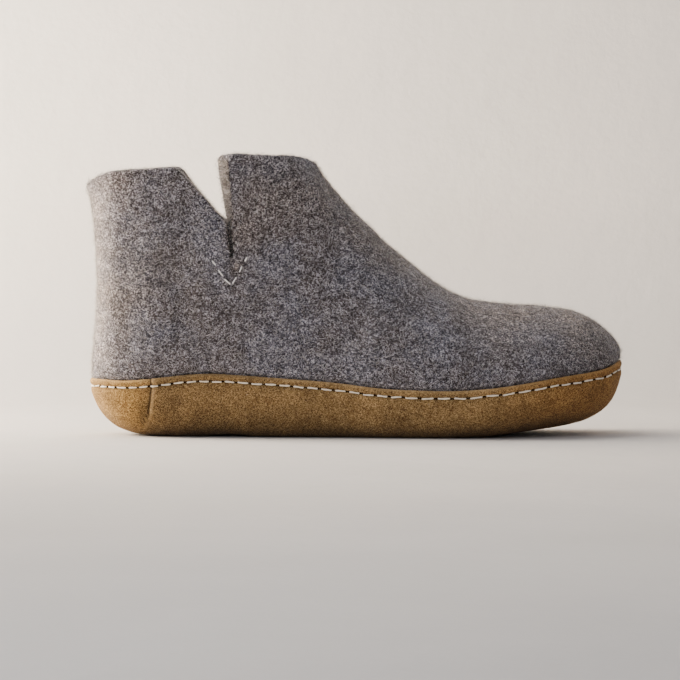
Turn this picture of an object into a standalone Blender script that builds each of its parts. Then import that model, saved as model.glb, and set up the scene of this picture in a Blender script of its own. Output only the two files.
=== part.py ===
# Ankle-high felt slipper, right shoe: hollow felt upper, suede cup sole and felt footbed.
# Metres. Toe along +X, up +Z, the foot's outer side towards -Y, origin on the floor under
# the middle of the shoe.

import bpy
import numpy as np
from mathutils import Vector

# Driving dimensions
LENGTH = 0.268            # heel to toe
BALL_WIDTH = 0.100        # forefoot at its widest
HEEL_WIDTH = 0.071        # heel at its widest
COLLAR_HEIGHT = 0.141     # top of the front flap
HEEL_HEIGHT = 0.1265      # top of the rear flap over the heel
VAMP_HEIGHT = 0.065       # top of the forefoot
COLLAR_LENGTH = 0.115     # ankle opening, outside, back to front
COLLAR_WIDTH = 0.063      # ankle opening, outside, side to side
COLLAR_OVERHANG = 0.0015  # how far the rear flap's top stands behind the heel
TOE_ROUND = 0.025         # from the end of the forefoot's ridge to the toe
SUEDE_RIM = 0.030         # height of the suede's edge at the arch
ARCH_LIFT = 0.0012        # gap under the sole between heel and forefoot
NOTCH_DEPTH = 0.034       # from the front flap's top to the point of the notch
SLIT_LENGTH = 0.0175      # cut that runs on below the notch
SLIT_WIDTH = 0.0009
FELT = 0.0045             # wall of the upper
SUEDE = 0.0018            # wall of the sole
FOOTBED = 0.0070          # thickness of the insole
CLEARANCE = 0.0003        # between pieces that touch

# Sections from heel to toe. Each has a rib on either side, which runs from the sole's edge
# up to the collar or, ahead of the collar, to the ridge along the top of the foot.
# at: along LENGTH. outer, inner: out from the middle line, in local widths.
# rim: height of the suede's edge, in SUEDE_RIM.
FOOTPRINT_COLUMNS = ("at", "outer", "inner", "rim")
FOOTPRINT = (
    (0.001, 0.000, 0.000, 0.95),
    (0.024, 0.296, 0.290, 0.96),
    (0.090, 0.465, 0.455, 0.96),
    (0.200, 0.515, 0.482, 1.065),
    (0.300, 0.530, 0.455, 1.04),
    (0.410, 0.508, 0.410, 0.97),
    (0.478, 0.487, 0.402, 0.915),
    (0.530, 0.480, 0.411, 0.855),
    (0.575, 0.483, 0.427, 0.825),
    (0.628, 0.493, 0.453, 0.81),
    (0.687, 0.507, 0.480, 0.81),
    (0.750, 0.510, 0.495, 0.85),
    (0.812, 0.487, 0.490, 0.925),
    (0.871, 0.430, 0.455, 1.01),
    (0.923, 0.335, 0.390, 1.07),
    (0.968, 0.200, 0.285, 1.135),
    (0.992, 0.080, 0.170, 1.22),
    (1.000, -0.050, 0.050, 1.25),
)
# The local width grows from HEEL_WIDTH to BALL_WIDTH between these shares of LENGTH.
WAIST = (0.25, 0.65)

# Top end of each collar rib. at: along COLLAR_LENGTH. out: from the middle, in COLLAR_WIDTH.
# heel, front: shares of HEEL_HEIGHT and COLLAR_HEIGHT that make up the height.
# ahead, aside: how far the wall's upper handle leans, in LENGTH and in COLLAR_WIDTH.
COLLAR_COLUMNS = ("at", "out", "heel", "front", "ahead", "aside")
COLLAR = (
    (0.000, 0.000, 1.00, 0.00, 0.026, 0.00),
    (0.048, 0.262, 0.76, 0.24, 0.017, -0.05),
    (0.161, 0.420, 0.55, 0.45, 0.006, -0.05),
    (0.398, 0.500, 0.36, 0.64, 0.000, -0.01),
    (0.587, 0.500, 0.00, 1.00, 0.000, 0.00),
    (0.805, 0.425, 0.00, 1.00, 0.020, 0.07),
    (0.930, 0.270, 0.00, 1.00, 0.045, 0.13),
)
NOTCH_BACK = 3   # rib at the rear flap's corner
NOTCH_POINT = 4  # rib that the slit follows

# Top end of each ridge rib. at: from the collar's front to the ridge's end. shift: towards
# the inner side, in BALL_WIDTH. front, vamp: shares of COLLAR_HEIGHT and VAMP_HEIGHT.
# along, across: the crown's handle, in TOE_ROUND and in BALL_WIDTH.
RIDGE_COLUMNS = ("at", "shift", "front", "vamp", "along", "across")
RIDGE = (
    (0.000, 0.000, 0.955, 0.045, 1.10, 0.220),
    (0.066, 0.004, 0.780, 0.220, 0.96, 0.240),
    (0.201, 0.010, 0.529, 0.471, 0.72, 0.260),
    (0.351, 0.016, 0.301, 0.699, 0.52, 0.270),
    (0.513, 0.024, 0.099, 0.901, 0.40, 0.285),
    (0.659, 0.032, 0.018, 0.982, 0.36, 0.285),
    (0.784, 0.040, 0.000, 1.000, 0.36, 0.260),
    (0.876, 0.045, 0.000, 0.995, 0.44, 0.210),
    (0.947, 0.048, 0.000, 0.982, 0.50, 0.130),
    (0.984, 0.050, 0.000, 0.963, 0.54, 0.060),
    (1.000, 0.050, 0.000, 0.952, 0.54, 0.000),
)

# Shape of each rib. rise, fall: handles of the wall above the rim, in the wall's height.
# swell: how far it bulges, in local widths. tuck: how far the sole's side turns in before it
# meets the floor, on the way to the middle line. drop: upper handle of that side, in the rim's
# height. roll, lift: its lower handle, in the tuck and in the rim's height.
WALL_COLUMNS = ("rise", "fall", "swell", "tuck", "drop", "roll", "lift")
WALL = (
    (0.33, 0.28, -0.060, 0.72, 0.58, 0.50, 0.00),
    (0.35, 0.28, -0.050, 0.68, 0.60, 0.54, 0.00),
    (0.35, 0.30, -0.010, 0.60, 0.66, 0.58, 0.00),
    (0.35, 0.33, 0.015, 0.53, 0.70, 0.60, 0.00),
    (0.35, 0.33, 0.020, 0.50, 0.70, 0.60, 0.00),
    (0.35, 0.33, 0.015, 0.50, 0.70, 0.60, 0.00),
    (0.36, 0.28, 0.010, 0.49, 0.70, 0.60, 0.00),
    (0.38, 0.33, 0.008, 0.47, 0.70, 0.60, 0.00),
    (0.41, 0.33, 0.006, 0.45, 0.70, 0.60, 0.00),
    (0.44, 0.33, 0.006, 0.43, 0.70, 0.60, 0.00),
    (0.48, 0.33, 0.006, 0.41, 0.70, 0.60, 0.00),
    (0.50, 0.33, 0.006, 0.43, 0.70, 0.59, 0.01),
    (0.50, 0.33, 0.006, 0.49, 0.70, 0.58, 0.03),
    (0.50, 0.33, 0.006, 0.60, 0.74, 0.56, 0.06),
    (0.48, 0.33, 0.006, 0.72, 0.80, 0.55, 0.09),
    (0.44, 0.33, 0.006, 0.82, 0.86, 0.56, 0.11),
    (0.40, 0.33, 0.007, 0.88, 0.89, 0.57, 0.11),
    (0.38, 0.33, 0.008, 0.90, 0.90, 0.57, 0.11),
)
SPINE = (0.15, 0.74)  # middle line of the sole's underside, in LENGTH
ARCH = (0.20, 0.33)   # where ARCH_LIFT applies, in LENGTH

# Where ribs are sampled. Below the rim: 0 at the rim, 1 where the sole meets the floor.
STEPS = 3                                  # stations from one section to the next
LIP = 0.80                                 # the upper's lower edge
UNDER_ROWS = (0.65, 0.5, 0.28, 0.0)        # above the lip
FOOTBED_EDGE = 1                           # which of UNDER_ROWS the insole's top meets
LIP_GAP = 0.018                            # between the lip and the insole's underside
LEDGE_LOW = 0.0003                         # the felt's step over the suede's edge
LEDGE_HIGH = 0.0012
SIDE_ROWS = 4                              # from the rim to the slit's lower end
FLAP_ROWS = 5                              # from there to the collar or ridge
NEARBY = 0.02                              # of a section, for reading a curve's direction
HEIGHT_SAMPLES = 400                       # along a rib, for finding a height on it
SHARP_ANGLE = 0.7                          # edges that bend more, in radians, stay crisp


def column(columns, rows, name):
    return np.array([row[columns.index(name)] for row in rows])


def smooth_open(points, t):
    """Natural cubic curve through points one step apart, read at t."""
    points = np.asarray(points, float)
    count = len(points)
    matrix = np.eye(count)
    sides = np.zeros_like(points)
    for k in range(1, count - 1):
        matrix[k, k - 1:k + 2] = (1, 4, 1)
        sides[k] = 6 * (points[k - 1] - 2 * points[k] + points[k + 1])
    bends = np.linalg.solve(matrix, sides)
    return blend_spans(points, bends, t, np.minimum(np.floor(t).astype(int), count - 2))


def smooth_loop(points, t):
    """The same through a closed ring of points."""
    points = np.asarray(points, float)
    count = len(points)
    matrix = 4 * np.eye(count) + np.roll(np.eye(count), 1, 0) + np.roll(np.eye(count), -1, 0)
    sides = 6 * (np.roll(points, 1, 0) - 2 * points + np.roll(points, -1, 0))
    bends = np.linalg.solve(matrix, sides)
    ring = np.vstack([points, points[:1]])
    return blend_spans(ring, np.vstack([bends, bends[:1]]), t % count, np.floor(t % count).astype(int))


def blend_spans(points, bends, t, span):
    share = (t - span)[:, None]
    rest = 1 - share
    straight = points[span] * rest + points[span + 1] * share
    return straight + bends[span] * (rest ** 3 - rest) / 6 + bends[span + 1] * (share ** 3 - share) / 6


def both_sides(outer, inner):
    """Ring of values: heel to toe along the outer side, then back along the inner side."""
    return np.vstack([outer, inner[-2:0:-1]])


def bezier(handles, share):
    a, b, c, d = handles
    rest = 1 - share
    return a * rest ** 3 + 3 * b * rest ** 2 * share + 3 * c * rest * share ** 2 + d * share ** 3


def unit(vectors):
    return vectors / np.linalg.norm(vectors, axis=-1, keepdims=True)


def floor_height(x):
    """Underside of the sole along the shoe, with the arch's low lift."""
    start, end = (share * LENGTH for share in ARCH)
    share = np.clip((x - start) / (end - start), 0, 1)
    return ARCH_LIFT * np.sin(np.pi * share) ** 2


def local_widths(at):
    share = np.clip((at - WAIST[0]) / (WAIST[1] - WAIST[0]), 0, 1)
    return HEEL_WIDTH + (BALL_WIDTH - HEEL_WIDTH) * share ** 2 * (3 - 2 * share)


def top_ends(side):
    """Upper end of every rib on one side, and the lean of its upper handle."""
    collar_at = column(COLLAR_COLUMNS, COLLAR, "at") * COLLAR_LENGTH - COLLAR_OVERHANG
    collar_out = column(COLLAR_COLUMNS, COLLAR, "out") * COLLAR_WIDTH * side
    collar_up = (column(COLLAR_COLUMNS, COLLAR, "heel") * HEEL_HEIGHT
                 + column(COLLAR_COLUMNS, COLLAR, "front") * COLLAR_HEIGHT)
    collar = np.column_stack([collar_at, collar_out, collar_up])
    collar_lean = np.column_stack([
        column(COLLAR_COLUMNS, COLLAR, "ahead") * LENGTH,
        column(COLLAR_COLUMNS, COLLAR, "aside") * COLLAR_WIDTH * side,
        np.zeros(len(COLLAR)),
    ])
    front = COLLAR_LENGTH - COLLAR_OVERHANG
    ridge_at = front + column(RIDGE_COLUMNS, RIDGE, "at") * (LENGTH - TOE_ROUND - front)
    ridge_up = (column(RIDGE_COLUMNS, RIDGE, "front") * COLLAR_HEIGHT
                + column(RIDGE_COLUMNS, RIDGE, "vamp") * VAMP_HEIGHT)
    ridge = np.column_stack([ridge_at, column(RIDGE_COLUMNS, RIDGE, "shift") * BALL_WIDTH, ridge_up])
    places = np.arange(len(RIDGE), dtype=float)
    ahead = smooth_open(ridge, np.minimum(places + NEARBY, places[-1]))
    behind = smooth_open(ridge, np.maximum(places - NEARBY, 0))
    ridge_lean = (unit(ahead - behind) * (column(RIDGE_COLUMNS, RIDGE, "along") * TOE_ROUND)[:, None]
                  + np.outer(column(RIDGE_COLUMNS, RIDGE, "across") * BALL_WIDTH * side, (0, 1, 0)))
    return np.vstack([collar, ridge]), np.vstack([collar_lean, ridge_lean]), len(COLLAR)


def middle_line(foot):
    """Where each rib meets the middle line of the sole's underside."""
    across = (foot + foot[(-np.arange(len(foot))) % len(foot)]) / 2
    line = np.zeros_like(foot)
    line[:, 0] = SPINE[0] * LENGTH + (SPINE[1] - SPINE[0]) * foot[:, 0]
    line[:, 1] = across[:, 1]
    line[:, 2] = floor_height(line[:, 0])
    return line


def rib_handles():
    """Control points of all ribs at the sections, one ring each: four for the wall above the
    rim and four for the sole's side below it."""
    at = column(FOOTPRINT_COLUMNS, FOOTPRINT, "at")
    widths = local_widths(at)
    rim = column(FOOTPRINT_COLUMNS, FOOTPRINT, "rim") * SUEDE_RIM
    feet = {}
    for side, name in ((-1, "outer"), (1, "inner")):
        out = column(FOOTPRINT_COLUMNS, FOOTPRINT, name) * widths * side
        feet[side] = np.column_stack([at * LENGTH, out, rim])
    foot = both_sides(feet[-1], feet[1])
    places = np.arange(len(foot), dtype=float)
    tangent = smooth_loop(foot, places + NEARBY) - smooth_loop(foot, places - NEARBY)
    tangent = unit(tangent * (1, 1, 0))
    outward = np.column_stack([tangent[:, 1], -tangent[:, 0], np.zeros(len(foot))])

    outer_top, outer_lean, ridge_start = top_ends(-1)
    inner_top, inner_lean, ridge_start = top_ends(1)
    top = both_sides(outer_top, inner_top)
    lean = both_sides(outer_lean, inner_lean)
    shape = {}
    for name in WALL_COLUMNS:
        values = column(WALL_COLUMNS, WALL, name)[:, None]
        shape[name] = both_sides(values, values)
    width_ring = both_sides(widths[:, None], widths[:, None])
    chord = top - foot
    sideways = np.sum(chord * tangent, axis=1, keepdims=True) * tangent
    climb = sideways + chord * (0, 0, 1)
    on_collar = np.array([min(k, len(foot) - k) < ridge_start for k in range(len(foot))])[:, None]
    wall = [
        foot,
        foot + shape["rise"] * climb + outward * shape["swell"] * width_ring,
        top + lean - np.where(on_collar, shape["fall"] * climb, 0),
        top,
    ]
    contact = foot + (middle_line(foot) - foot) * shape["tuck"]
    contact[:, 2] = floor_height(contact[:, 0])
    side_wall = [
        foot,
        foot - shape["drop"] * foot * (0, 0, 1),
        contact + (foot - contact) * (1, 1, 0) * shape["roll"] + foot * (0, 0, 1) * shape["lift"],
        contact,
    ]
    return wall, side_wall, ridge_start


def ring_of(handles, t):
    return [smooth_loop(points, t) for points in handles]


def top_line(top, t, ridge_start, sections):
    """The collar is a closed curve of its own, and the ridge another that starts at its front."""
    last = sections - 1
    collar_ring = np.vstack([top[:ridge_start + 1], top[len(top) - ridge_start + 1:]])
    line = np.empty((len(t), 3))
    for k, place in enumerate(t):
        from_heel = min(place, 2 * last - place)
        if from_heel >= ridge_start:
            ridge = top[ridge_start:last + 1]
            line[k] = smooth_open(ridge, np.array([from_heel - ridge_start]))[0]
        else:
            around = place if place <= last else place - 2 * last
            line[k] = smooth_loop(collar_ring, np.array([around]))[0]
    return line


def share_at_height(handles, height):
    shares = np.linspace(0, 1, HEIGHT_SAMPLES)
    heights = np.array([bezier(handles, share)[2] for share in shares])
    return float(np.interp(height, heights, shares))


def outer_form():
    """Points of the shoe's outer skin on a grid: columns round the foot from the heel along
    the outer side, rows from the sole's middle line up. Returns the rows by name."""
    wall, side_wall, ridge_start = rib_handles()
    sections = len(FOOTPRINT)
    t = np.arange(0, 2 * (sections - 1) * STEPS) / STEPS
    upper = ring_of(wall, t)
    upper[3] = top_line(wall[3], t, ridge_start, sections)
    lower = ring_of(side_wall, t)
    lower[3][:, 2] = floor_height(lower[3][:, 0])
    lower[2][:, 2] = np.maximum(lower[2][:, 2], lower[3][:, 2])

    from_heel = np.minimum(t, 2 * (sections - 1) - t)
    slit_column = NOTCH_POINT * STEPS
    slit_rib = [points[slit_column] for points in upper]
    notch_share = share_at_height(slit_rib, COLLAR_HEIGHT - NOTCH_DEPTH)
    slit_share = share_at_height(slit_rib, COLLAR_HEIGHT - NOTCH_DEPTH - SLIT_LENGTH)

    rows = {}
    spine = middle_line(upper[0])
    half_way = (spine + lower[3]) / 2
    half_way[:, 2] = floor_height(half_way[:, 0])
    rows["spine", 0] = spine
    rows["sole", 0] = half_way
    rows["sole", 1] = lower[3]
    rows["lip", 0] = bezier(lower, LIP + LIP_GAP)
    rows["lip", 1] = bezier(lower, LIP)
    for place, share in enumerate(UNDER_ROWS):
        rows["under", place] = bezier(lower, share)

    # A cubic rib starts off at three times the length of its first handle.
    speed = 3 * np.linalg.norm(upper[1] - upper[0], axis=1, keepdims=True)
    rows["ledge", 0] = bezier(upper, LEDGE_LOW / speed)
    rows["ledge", 1] = bezier(upper, LEDGE_HIGH / speed)
    for row in range(1, SIDE_ROWS + 1):
        rows["side", row] = bezier(upper, slit_share * row / SIDE_ROWS)
    cut = np.clip((from_heel - NOTCH_BACK) / (NOTCH_POINT - NOTCH_BACK), 0, 1)
    rear_top = 1 - (1 - notch_share) * cut
    for row in range(1, FLAP_ROWS + 1):
        share = row / FLAP_ROWS
        rear = slit_share + (rear_top - slit_share) * share
        front = slit_share + (1 - slit_share) * share
        rows["rear", row] = bezier(upper, rear[:, None])
        rows["front", row] = bezier(upper, front)
    return rows, from_heel, ridge_start


def skin(rows, from_heel, ridge_start, wanted):
    """Points, faces and keys of a grid over the wanted rows. The sides are joined along the
    middle line and the ridge, and the slits are open."""
    columns = len(from_heel)
    slits = (NOTCH_POINT * STEPS, columns - NOTCH_POINT * STEPS)
    index = {}
    places = []

    def vertex(j, row):
        j = j % columns
        joined = row[0] == "spine" or (row == ("front", FLAP_ROWS) and from_heel[j] >= ridge_start)
        key = (min(j, (columns - j) % columns) if joined else j, row)
        if key not in index:
            index[key] = len(places)
            place = rows[row][j].copy()
            if j in slits and row[0] in ("rear", "front"):
                place[0] += SLIT_WIDTH / 2 if row[0] == "front" else -SLIT_WIDTH / 2
            places.append(place)
        return index[key]

    def named(j, row):
        """The flap row between column j and the next is on the rear or the front flap."""
        if row[0] != "flap":
            return row
        return ("front" if slits[0] <= j < slits[1] else "rear", row[1])

    faces = []
    for j in range(columns):
        for low, high in zip(wanted, wanted[1:]):
            low, high = named(j, low), named(j, high)
            corners = [vertex(j, low), vertex(j + 1, low), vertex(j + 1, high), vertex(j, high)]
            corners = list(dict.fromkeys(corners))
            if len(corners) > 2:
                faces.append(corners)
    return places, faces, index


def new_mesh(name, places, faces):
    mesh = bpy.data.meshes.new(name)
    mesh.from_pydata([Vector(place) for place in places], [], faces)
    mesh.update()
    return mesh


def new_part(name, mesh, material, home, collection):
    mesh.materials.append(material)
    mesh.shade_smooth()
    mesh.set_sharp_from_angle(angle=SHARP_ANGLE)
    part = bpy.data.objects.new(name, mesh)
    collection.objects.link(part)
    part.parent = home
    return part


def new_material(name, colour, roughness):
    material = bpy.data.materials.new(name)
    material.use_nodes = True
    shader = material.node_tree.nodes["Principled BSDF"]
    shader.inputs["Base Color"].default_value = (*colour, 1)
    shader.inputs["Roughness"].default_value = roughness
    shader.inputs["Metallic"].default_value = 0
    return material


def felt_material():
    return new_material("grey_felt", (0.150, 0.130, 0.132), 0.95)


def suede_material():
    return new_material("tan_suede", (0.165, 0.090, 0.038), 0.85)


def footbed_material():
    return new_material("pale_felt", (0.240, 0.215, 0.205), 0.95)


def form_rows():
    """Rows from the middle of the underside up to the top of the wall."""
    under = [("under", place) for place in range(len(UNDER_ROWS))]
    sides = [("side", row) for row in range(1, SIDE_ROWS + 1)]
    flaps = [("flap", row) for row in range(1, FLAP_ROWS + 1)]
    sole = [("spine", 0), ("sole", 0), ("sole", 1), ("lip", 1), *under]
    upper = [("lip", 1), *under, ("ledge", 0), ("ledge", 1), *sides, *flaps]
    return sole, upper


def add_upper(rows, normals, from_heel, ridge_start, home, collection):
    """The wall's inner face, thickened outwards. Below the ledge it is pressed thinner, so
    that the suede's edge lies almost flush with the felt above it."""
    places, faces, index = skin(rows, from_heel, ridge_start, form_rows()[1])
    for key, number in index.items():
        places[number] = places[number] - normals[key] * FELT
    part = new_part("upper", new_mesh("upper", places, faces), felt_material(), home, collection)
    pressed = (FELT - SUEDE - CLEARANCE) / FELT
    thickness = part.vertex_groups.new(name="thickness")
    for (j, row), number in index.items():
        low = row[0] in ("lip", "under") or row == ("ledge", 0)
        thickness.add([number], pressed if low else 1, "REPLACE")
    wall = part.modifiers.new("wall", "SOLIDIFY")
    wall.thickness = FELT
    wall.offset = 1
    wall.vertex_group = thickness.name
    return part


def add_sole(rows, from_heel, ridge_start, home, collection):
    """One piece of suede, from the underside's middle line up to the stitched edge."""
    places, faces, index = skin(rows, from_heel, ridge_start, form_rows()[0])
    part = new_part("sole", new_mesh("sole", places, faces), suede_material(), home, collection)
    wall = part.modifiers.new("wall", "SOLIDIFY")
    wall.thickness = SUEDE
    wall.offset = -1
    return part


def add_insole(rows, normals, from_heel, ridge_start, home, collection):
    """Footbed that fills the upper's lower opening and lies over its turned-in lip."""
    columns = len(from_heel)

    def inset(row, distance):
        keys = [(min(j, columns - j) if row[0] == "spine" else j, row) for j in range(columns)]
        return rows[row] - np.array([normals[key] for key in keys]) * distance

    low = SUEDE + CLEARANCE
    side = FELT + CLEARANCE
    high = low + FOOTBED
    bed = {("spine", 0): inset(("spine", 0), low)}
    layers = [(("sole", 0), low), (("sole", 1), low), (("lip", 0), low), (("lip", 0), side)]
    layers += [(("lip", 1), side)] + [(("under", place), side) for place in range(FOOTBED_EDGE + 1)]
    layers += [(("sole", 1), high), (("sole", 0), high)]
    for number, (row, distance) in enumerate(layers):
        bed["bed", number] = inset(row, distance)
    bed["spine", 1] = inset(("spine", 0), high)
    places, faces, index = skin(bed, from_heel, ridge_start, list(bed))
    return new_part("insole", new_mesh("insole", places, faces), footbed_material(), home, collection)


def main():
    for thing in list(bpy.data.objects):
        bpy.data.objects.remove(thing)
    collection = bpy.data.collections.new("felt_slipper")
    bpy.context.scene.collection.children.link(collection)

    rows, from_heel, ridge_start = outer_form()
    sole_rows, upper_rows = form_rows()
    whole = sole_rows[:3] + [("lip", 0)] + upper_rows
    places, faces, index = skin(rows, from_heel, ridge_start, whole)
    guide = new_mesh("form", places, faces)
    normals = {key: np.array(guide.vertices[number].normal) for key, number in index.items()}
    rim = ("under", len(UNDER_ROWS) - 1)
    for j in range(len(from_heel)):
        normals[j, ("ledge", 0)] = normals[j, ("ledge", 1)] = normals[j, rim]
        normals[j, ("lip", 0)] = normals[j, ("lip", 1)]
    lowest = np.min(places, axis=0)
    highest = np.max(places, axis=0)
    bpy.data.meshes.remove(guide)

    home = bpy.data.objects.new("floor_point", None)
    collection.objects.link(home)
    middle = (lowest + highest) / 2
    home.location = (-middle[0], -middle[1], 0)
    add_upper(rows, normals, from_heel, ridge_start, home, collection)
    add_sole(rows, from_heel, ridge_start, home, collection)
    add_insole(rows, normals, from_heel, ridge_start, home, collection)


main()
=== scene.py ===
# Felt slipper, right shoe: felt upper, stitched suede sole, footbed, thread and nap.
# Metres. Toe along +X, the foot's outer side towards -Y, floor at z = 0.

import math
import bpy
import numpy as np
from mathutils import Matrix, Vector
from mathutils.bvhtree import BVHTree
from mathutils.kdtree import KDTree


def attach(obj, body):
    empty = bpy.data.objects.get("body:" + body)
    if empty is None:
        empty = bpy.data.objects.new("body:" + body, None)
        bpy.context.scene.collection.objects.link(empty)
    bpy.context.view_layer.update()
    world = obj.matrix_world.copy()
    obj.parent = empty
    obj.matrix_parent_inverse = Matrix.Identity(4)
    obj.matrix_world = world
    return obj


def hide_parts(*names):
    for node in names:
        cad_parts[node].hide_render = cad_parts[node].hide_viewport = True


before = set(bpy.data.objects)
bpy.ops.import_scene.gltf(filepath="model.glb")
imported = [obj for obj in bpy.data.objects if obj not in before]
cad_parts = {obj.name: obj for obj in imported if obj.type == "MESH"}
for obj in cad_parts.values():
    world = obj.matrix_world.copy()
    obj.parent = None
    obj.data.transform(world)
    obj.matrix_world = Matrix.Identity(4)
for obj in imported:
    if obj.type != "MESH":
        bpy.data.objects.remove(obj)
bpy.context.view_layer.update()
print("frame loaded:", ", ".join(sorted(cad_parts)))

# main sizes of the last and the walls, the same as the frame's
form = {
    "length": 0.268,
    "ballWidth": 0.100,
    "heelWidth": 0.071,
    "collarHeight": 0.141,
    "heelHeight": 0.1265,
    "vampHeight": 0.065,
    "collarLength": 0.115,
    "collarWidth": 0.063,
    "collarOverhang": 0.0015,
    "toeRound": 0.025,
    "suedeRim": 0.030,
    "archLift": 0.0012,
    "notchDepth": 0.034,
    "slitLength": 0.0175,
    "slitWidth": 0.0009,
    "felt": 0.0045,
    "suede": 0.0018,
    "footbed": 0.0070,
    "clearance": 0.0003,
    "waist": (0.25, 0.65),    # width grows from heel to ball between these shares
    "spine": (0.15, 0.74),    # middle line of the underside
    "arch": (0.20, 0.33),     # where the sole lifts off the floor
    "notchBack": 3,           # rib at the rear flap's corner
    "notchPoint": 4,          # rib that the slit follows
    "ridgeStart": 7,          # first rib ahead of the collar
    "heelToMiddle": 0.13326,  # the frame's origin, from the heel
    "middleAside": -0.00075,
}

# sections from heel to toe: at, outer, inner, rim
footprint = np.array([
    (0.001, 0.000, 0.000, 0.95),
    (0.024, 0.296, 0.290, 0.96),
    (0.090, 0.465, 0.455, 0.96),
    (0.200, 0.515, 0.482, 1.065),
    (0.300, 0.530, 0.455, 1.04),
    (0.410, 0.508, 0.410, 0.97),
    (0.478, 0.487, 0.402, 0.915),
    (0.530, 0.480, 0.411, 0.855),
    (0.575, 0.483, 0.427, 0.825),
    (0.628, 0.493, 0.453, 0.81),
    (0.687, 0.507, 0.480, 0.81),
    (0.750, 0.510, 0.495, 0.85),
    (0.812, 0.487, 0.490, 0.925),
    (0.871, 0.430, 0.455, 1.01),
    (0.923, 0.335, 0.390, 1.07),
    (0.968, 0.200, 0.285, 1.135),
    (0.992, 0.080, 0.170, 1.22),
    (1.000, -0.050, 0.050, 1.25),
])

# collar ribs: at, out, heel, front, ahead, aside
collar = np.array([
    (0.000, 0.000, 1.00, 0.00, 0.026, 0.00),
    (0.048, 0.262, 0.76, 0.24, 0.017, -0.05),
    (0.161, 0.420, 0.55, 0.45, 0.006, -0.05),
    (0.398, 0.500, 0.36, 0.64, 0.000, -0.01),
    (0.587, 0.500, 0.00, 1.00, 0.000, 0.00),
    (0.805, 0.425, 0.00, 1.00, 0.020, 0.07),
    (0.930, 0.270, 0.00, 1.00, 0.045, 0.13),
])

# ridge ribs: at, shift, front, vamp, along, across
ridge = np.array([
    (0.000, 0.000, 0.955, 0.045, 1.10, 0.220),
    (0.066, 0.004, 0.780, 0.220, 0.96, 0.240),
    (0.201, 0.010, 0.529, 0.471, 0.72, 0.260),
    (0.351, 0.016, 0.301, 0.699, 0.52, 0.270),
    (0.513, 0.024, 0.099, 0.901, 0.40, 0.285),
    (0.659, 0.032, 0.018, 0.982, 0.36, 0.285),
    (0.784, 0.040, 0.000, 1.000, 0.36, 0.260),
    (0.876, 0.045, 0.000, 0.995, 0.44, 0.210),
    (0.947, 0.048, 0.000, 0.982, 0.50, 0.130),
    (0.984, 0.050, 0.000, 0.963, 0.54, 0.060),
    (1.000, 0.050, 0.000, 0.952, 0.54, 0.000),
])

# every rib: rise, fall, swell, tuck, drop, roll, lift
ribShape = np.array([
    (0.33, 0.28, -0.060, 0.72, 0.58, 0.50, 0.00),
    (0.35, 0.28, -0.050, 0.68, 0.60, 0.54, 0.00),
    (0.35, 0.30, -0.010, 0.60, 0.66, 0.58, 0.00),
    (0.35, 0.33, 0.015, 0.53, 0.70, 0.60, 0.00),
    (0.35, 0.33, 0.020, 0.50, 0.70, 0.60, 0.00),
    (0.35, 0.33, 0.015, 0.50, 0.70, 0.60, 0.00),
    (0.36, 0.28, 0.010, 0.49, 0.70, 0.60, 0.00),
    (0.38, 0.33, 0.008, 0.47, 0.70, 0.60, 0.00),
    (0.41, 0.33, 0.006, 0.45, 0.70, 0.60, 0.00),
    (0.44, 0.33, 0.006, 0.43, 0.70, 0.60, 0.00),
    (0.48, 0.33, 0.006, 0.41, 0.70, 0.60, 0.00),
    (0.50, 0.33, 0.006, 0.43, 0.70, 0.59, 0.01),
    (0.50, 0.33, 0.006, 0.49, 0.70, 0.58, 0.03),
    (0.50, 0.33, 0.006, 0.60, 0.74, 0.56, 0.06),
    (0.48, 0.33, 0.006, 0.72, 0.80, 0.55, 0.09),
    (0.44, 0.33, 0.006, 0.82, 0.86, 0.56, 0.11),
    (0.40, 0.33, 0.007, 0.88, 0.89, 0.57, 0.11),
    (0.38, 0.33, 0.008, 0.90, 0.90, 0.57, 0.11),
])


def smoothOpen(points, t):
    # natural cubic through points one step apart
    count = len(points)
    matrix = np.eye(count)
    sides = np.zeros_like(points)
    for k in range(1, count - 1):
        matrix[k, k - 1:k + 2] = (1, 4, 1)
        sides[k] = 6 * (points[k - 1] - 2 * points[k] + points[k + 1])
    bends = np.linalg.solve(matrix, sides)
    return blendSpans(points, bends, t, np.clip(np.floor(t).astype(int), 0, count - 2))


def smoothLoop(points, t):
    count = len(points)
    matrix = 4 * np.eye(count) + np.roll(np.eye(count), 1, 0) + np.roll(np.eye(count), -1, 0)
    bends = np.linalg.solve(matrix, 6 * (np.roll(points, 1, 0) - 2 * points + np.roll(points, -1, 0)))
    around = t % count
    span = np.floor(around).astype(int)
    return blendSpans(np.vstack([points, points[:1]]), np.vstack([bends, bends[:1]]), around, span)


def blendSpans(points, bends, t, span):
    share = (t - span)[:, None]
    rest = 1 - share
    straight = points[span] * rest + points[span + 1] * share
    return straight + bends[span] * (rest ** 3 - rest) / 6 + bends[span + 1] * (share ** 3 - share) / 6


def bothSides(outer, inner):
    return np.vstack([outer, inner[-2:0:-1]])


def bezier(handles, share):
    a, b, c, d = handles
    rest = 1 - share
    return a * rest ** 3 + 3 * b * rest ** 2 * share + 3 * c * rest * share ** 2 + d * share ** 3


def unit(vectors):
    return vectors / np.maximum(np.linalg.norm(vectors, axis=-1, keepdims=True), 1e-12)


def floorHeight(x):
    start, end = (share * form["length"] for share in form["arch"])
    return form["archLift"] * np.sin(np.pi * np.clip((x - start) / (end - start), 0, 1)) ** 2


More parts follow.
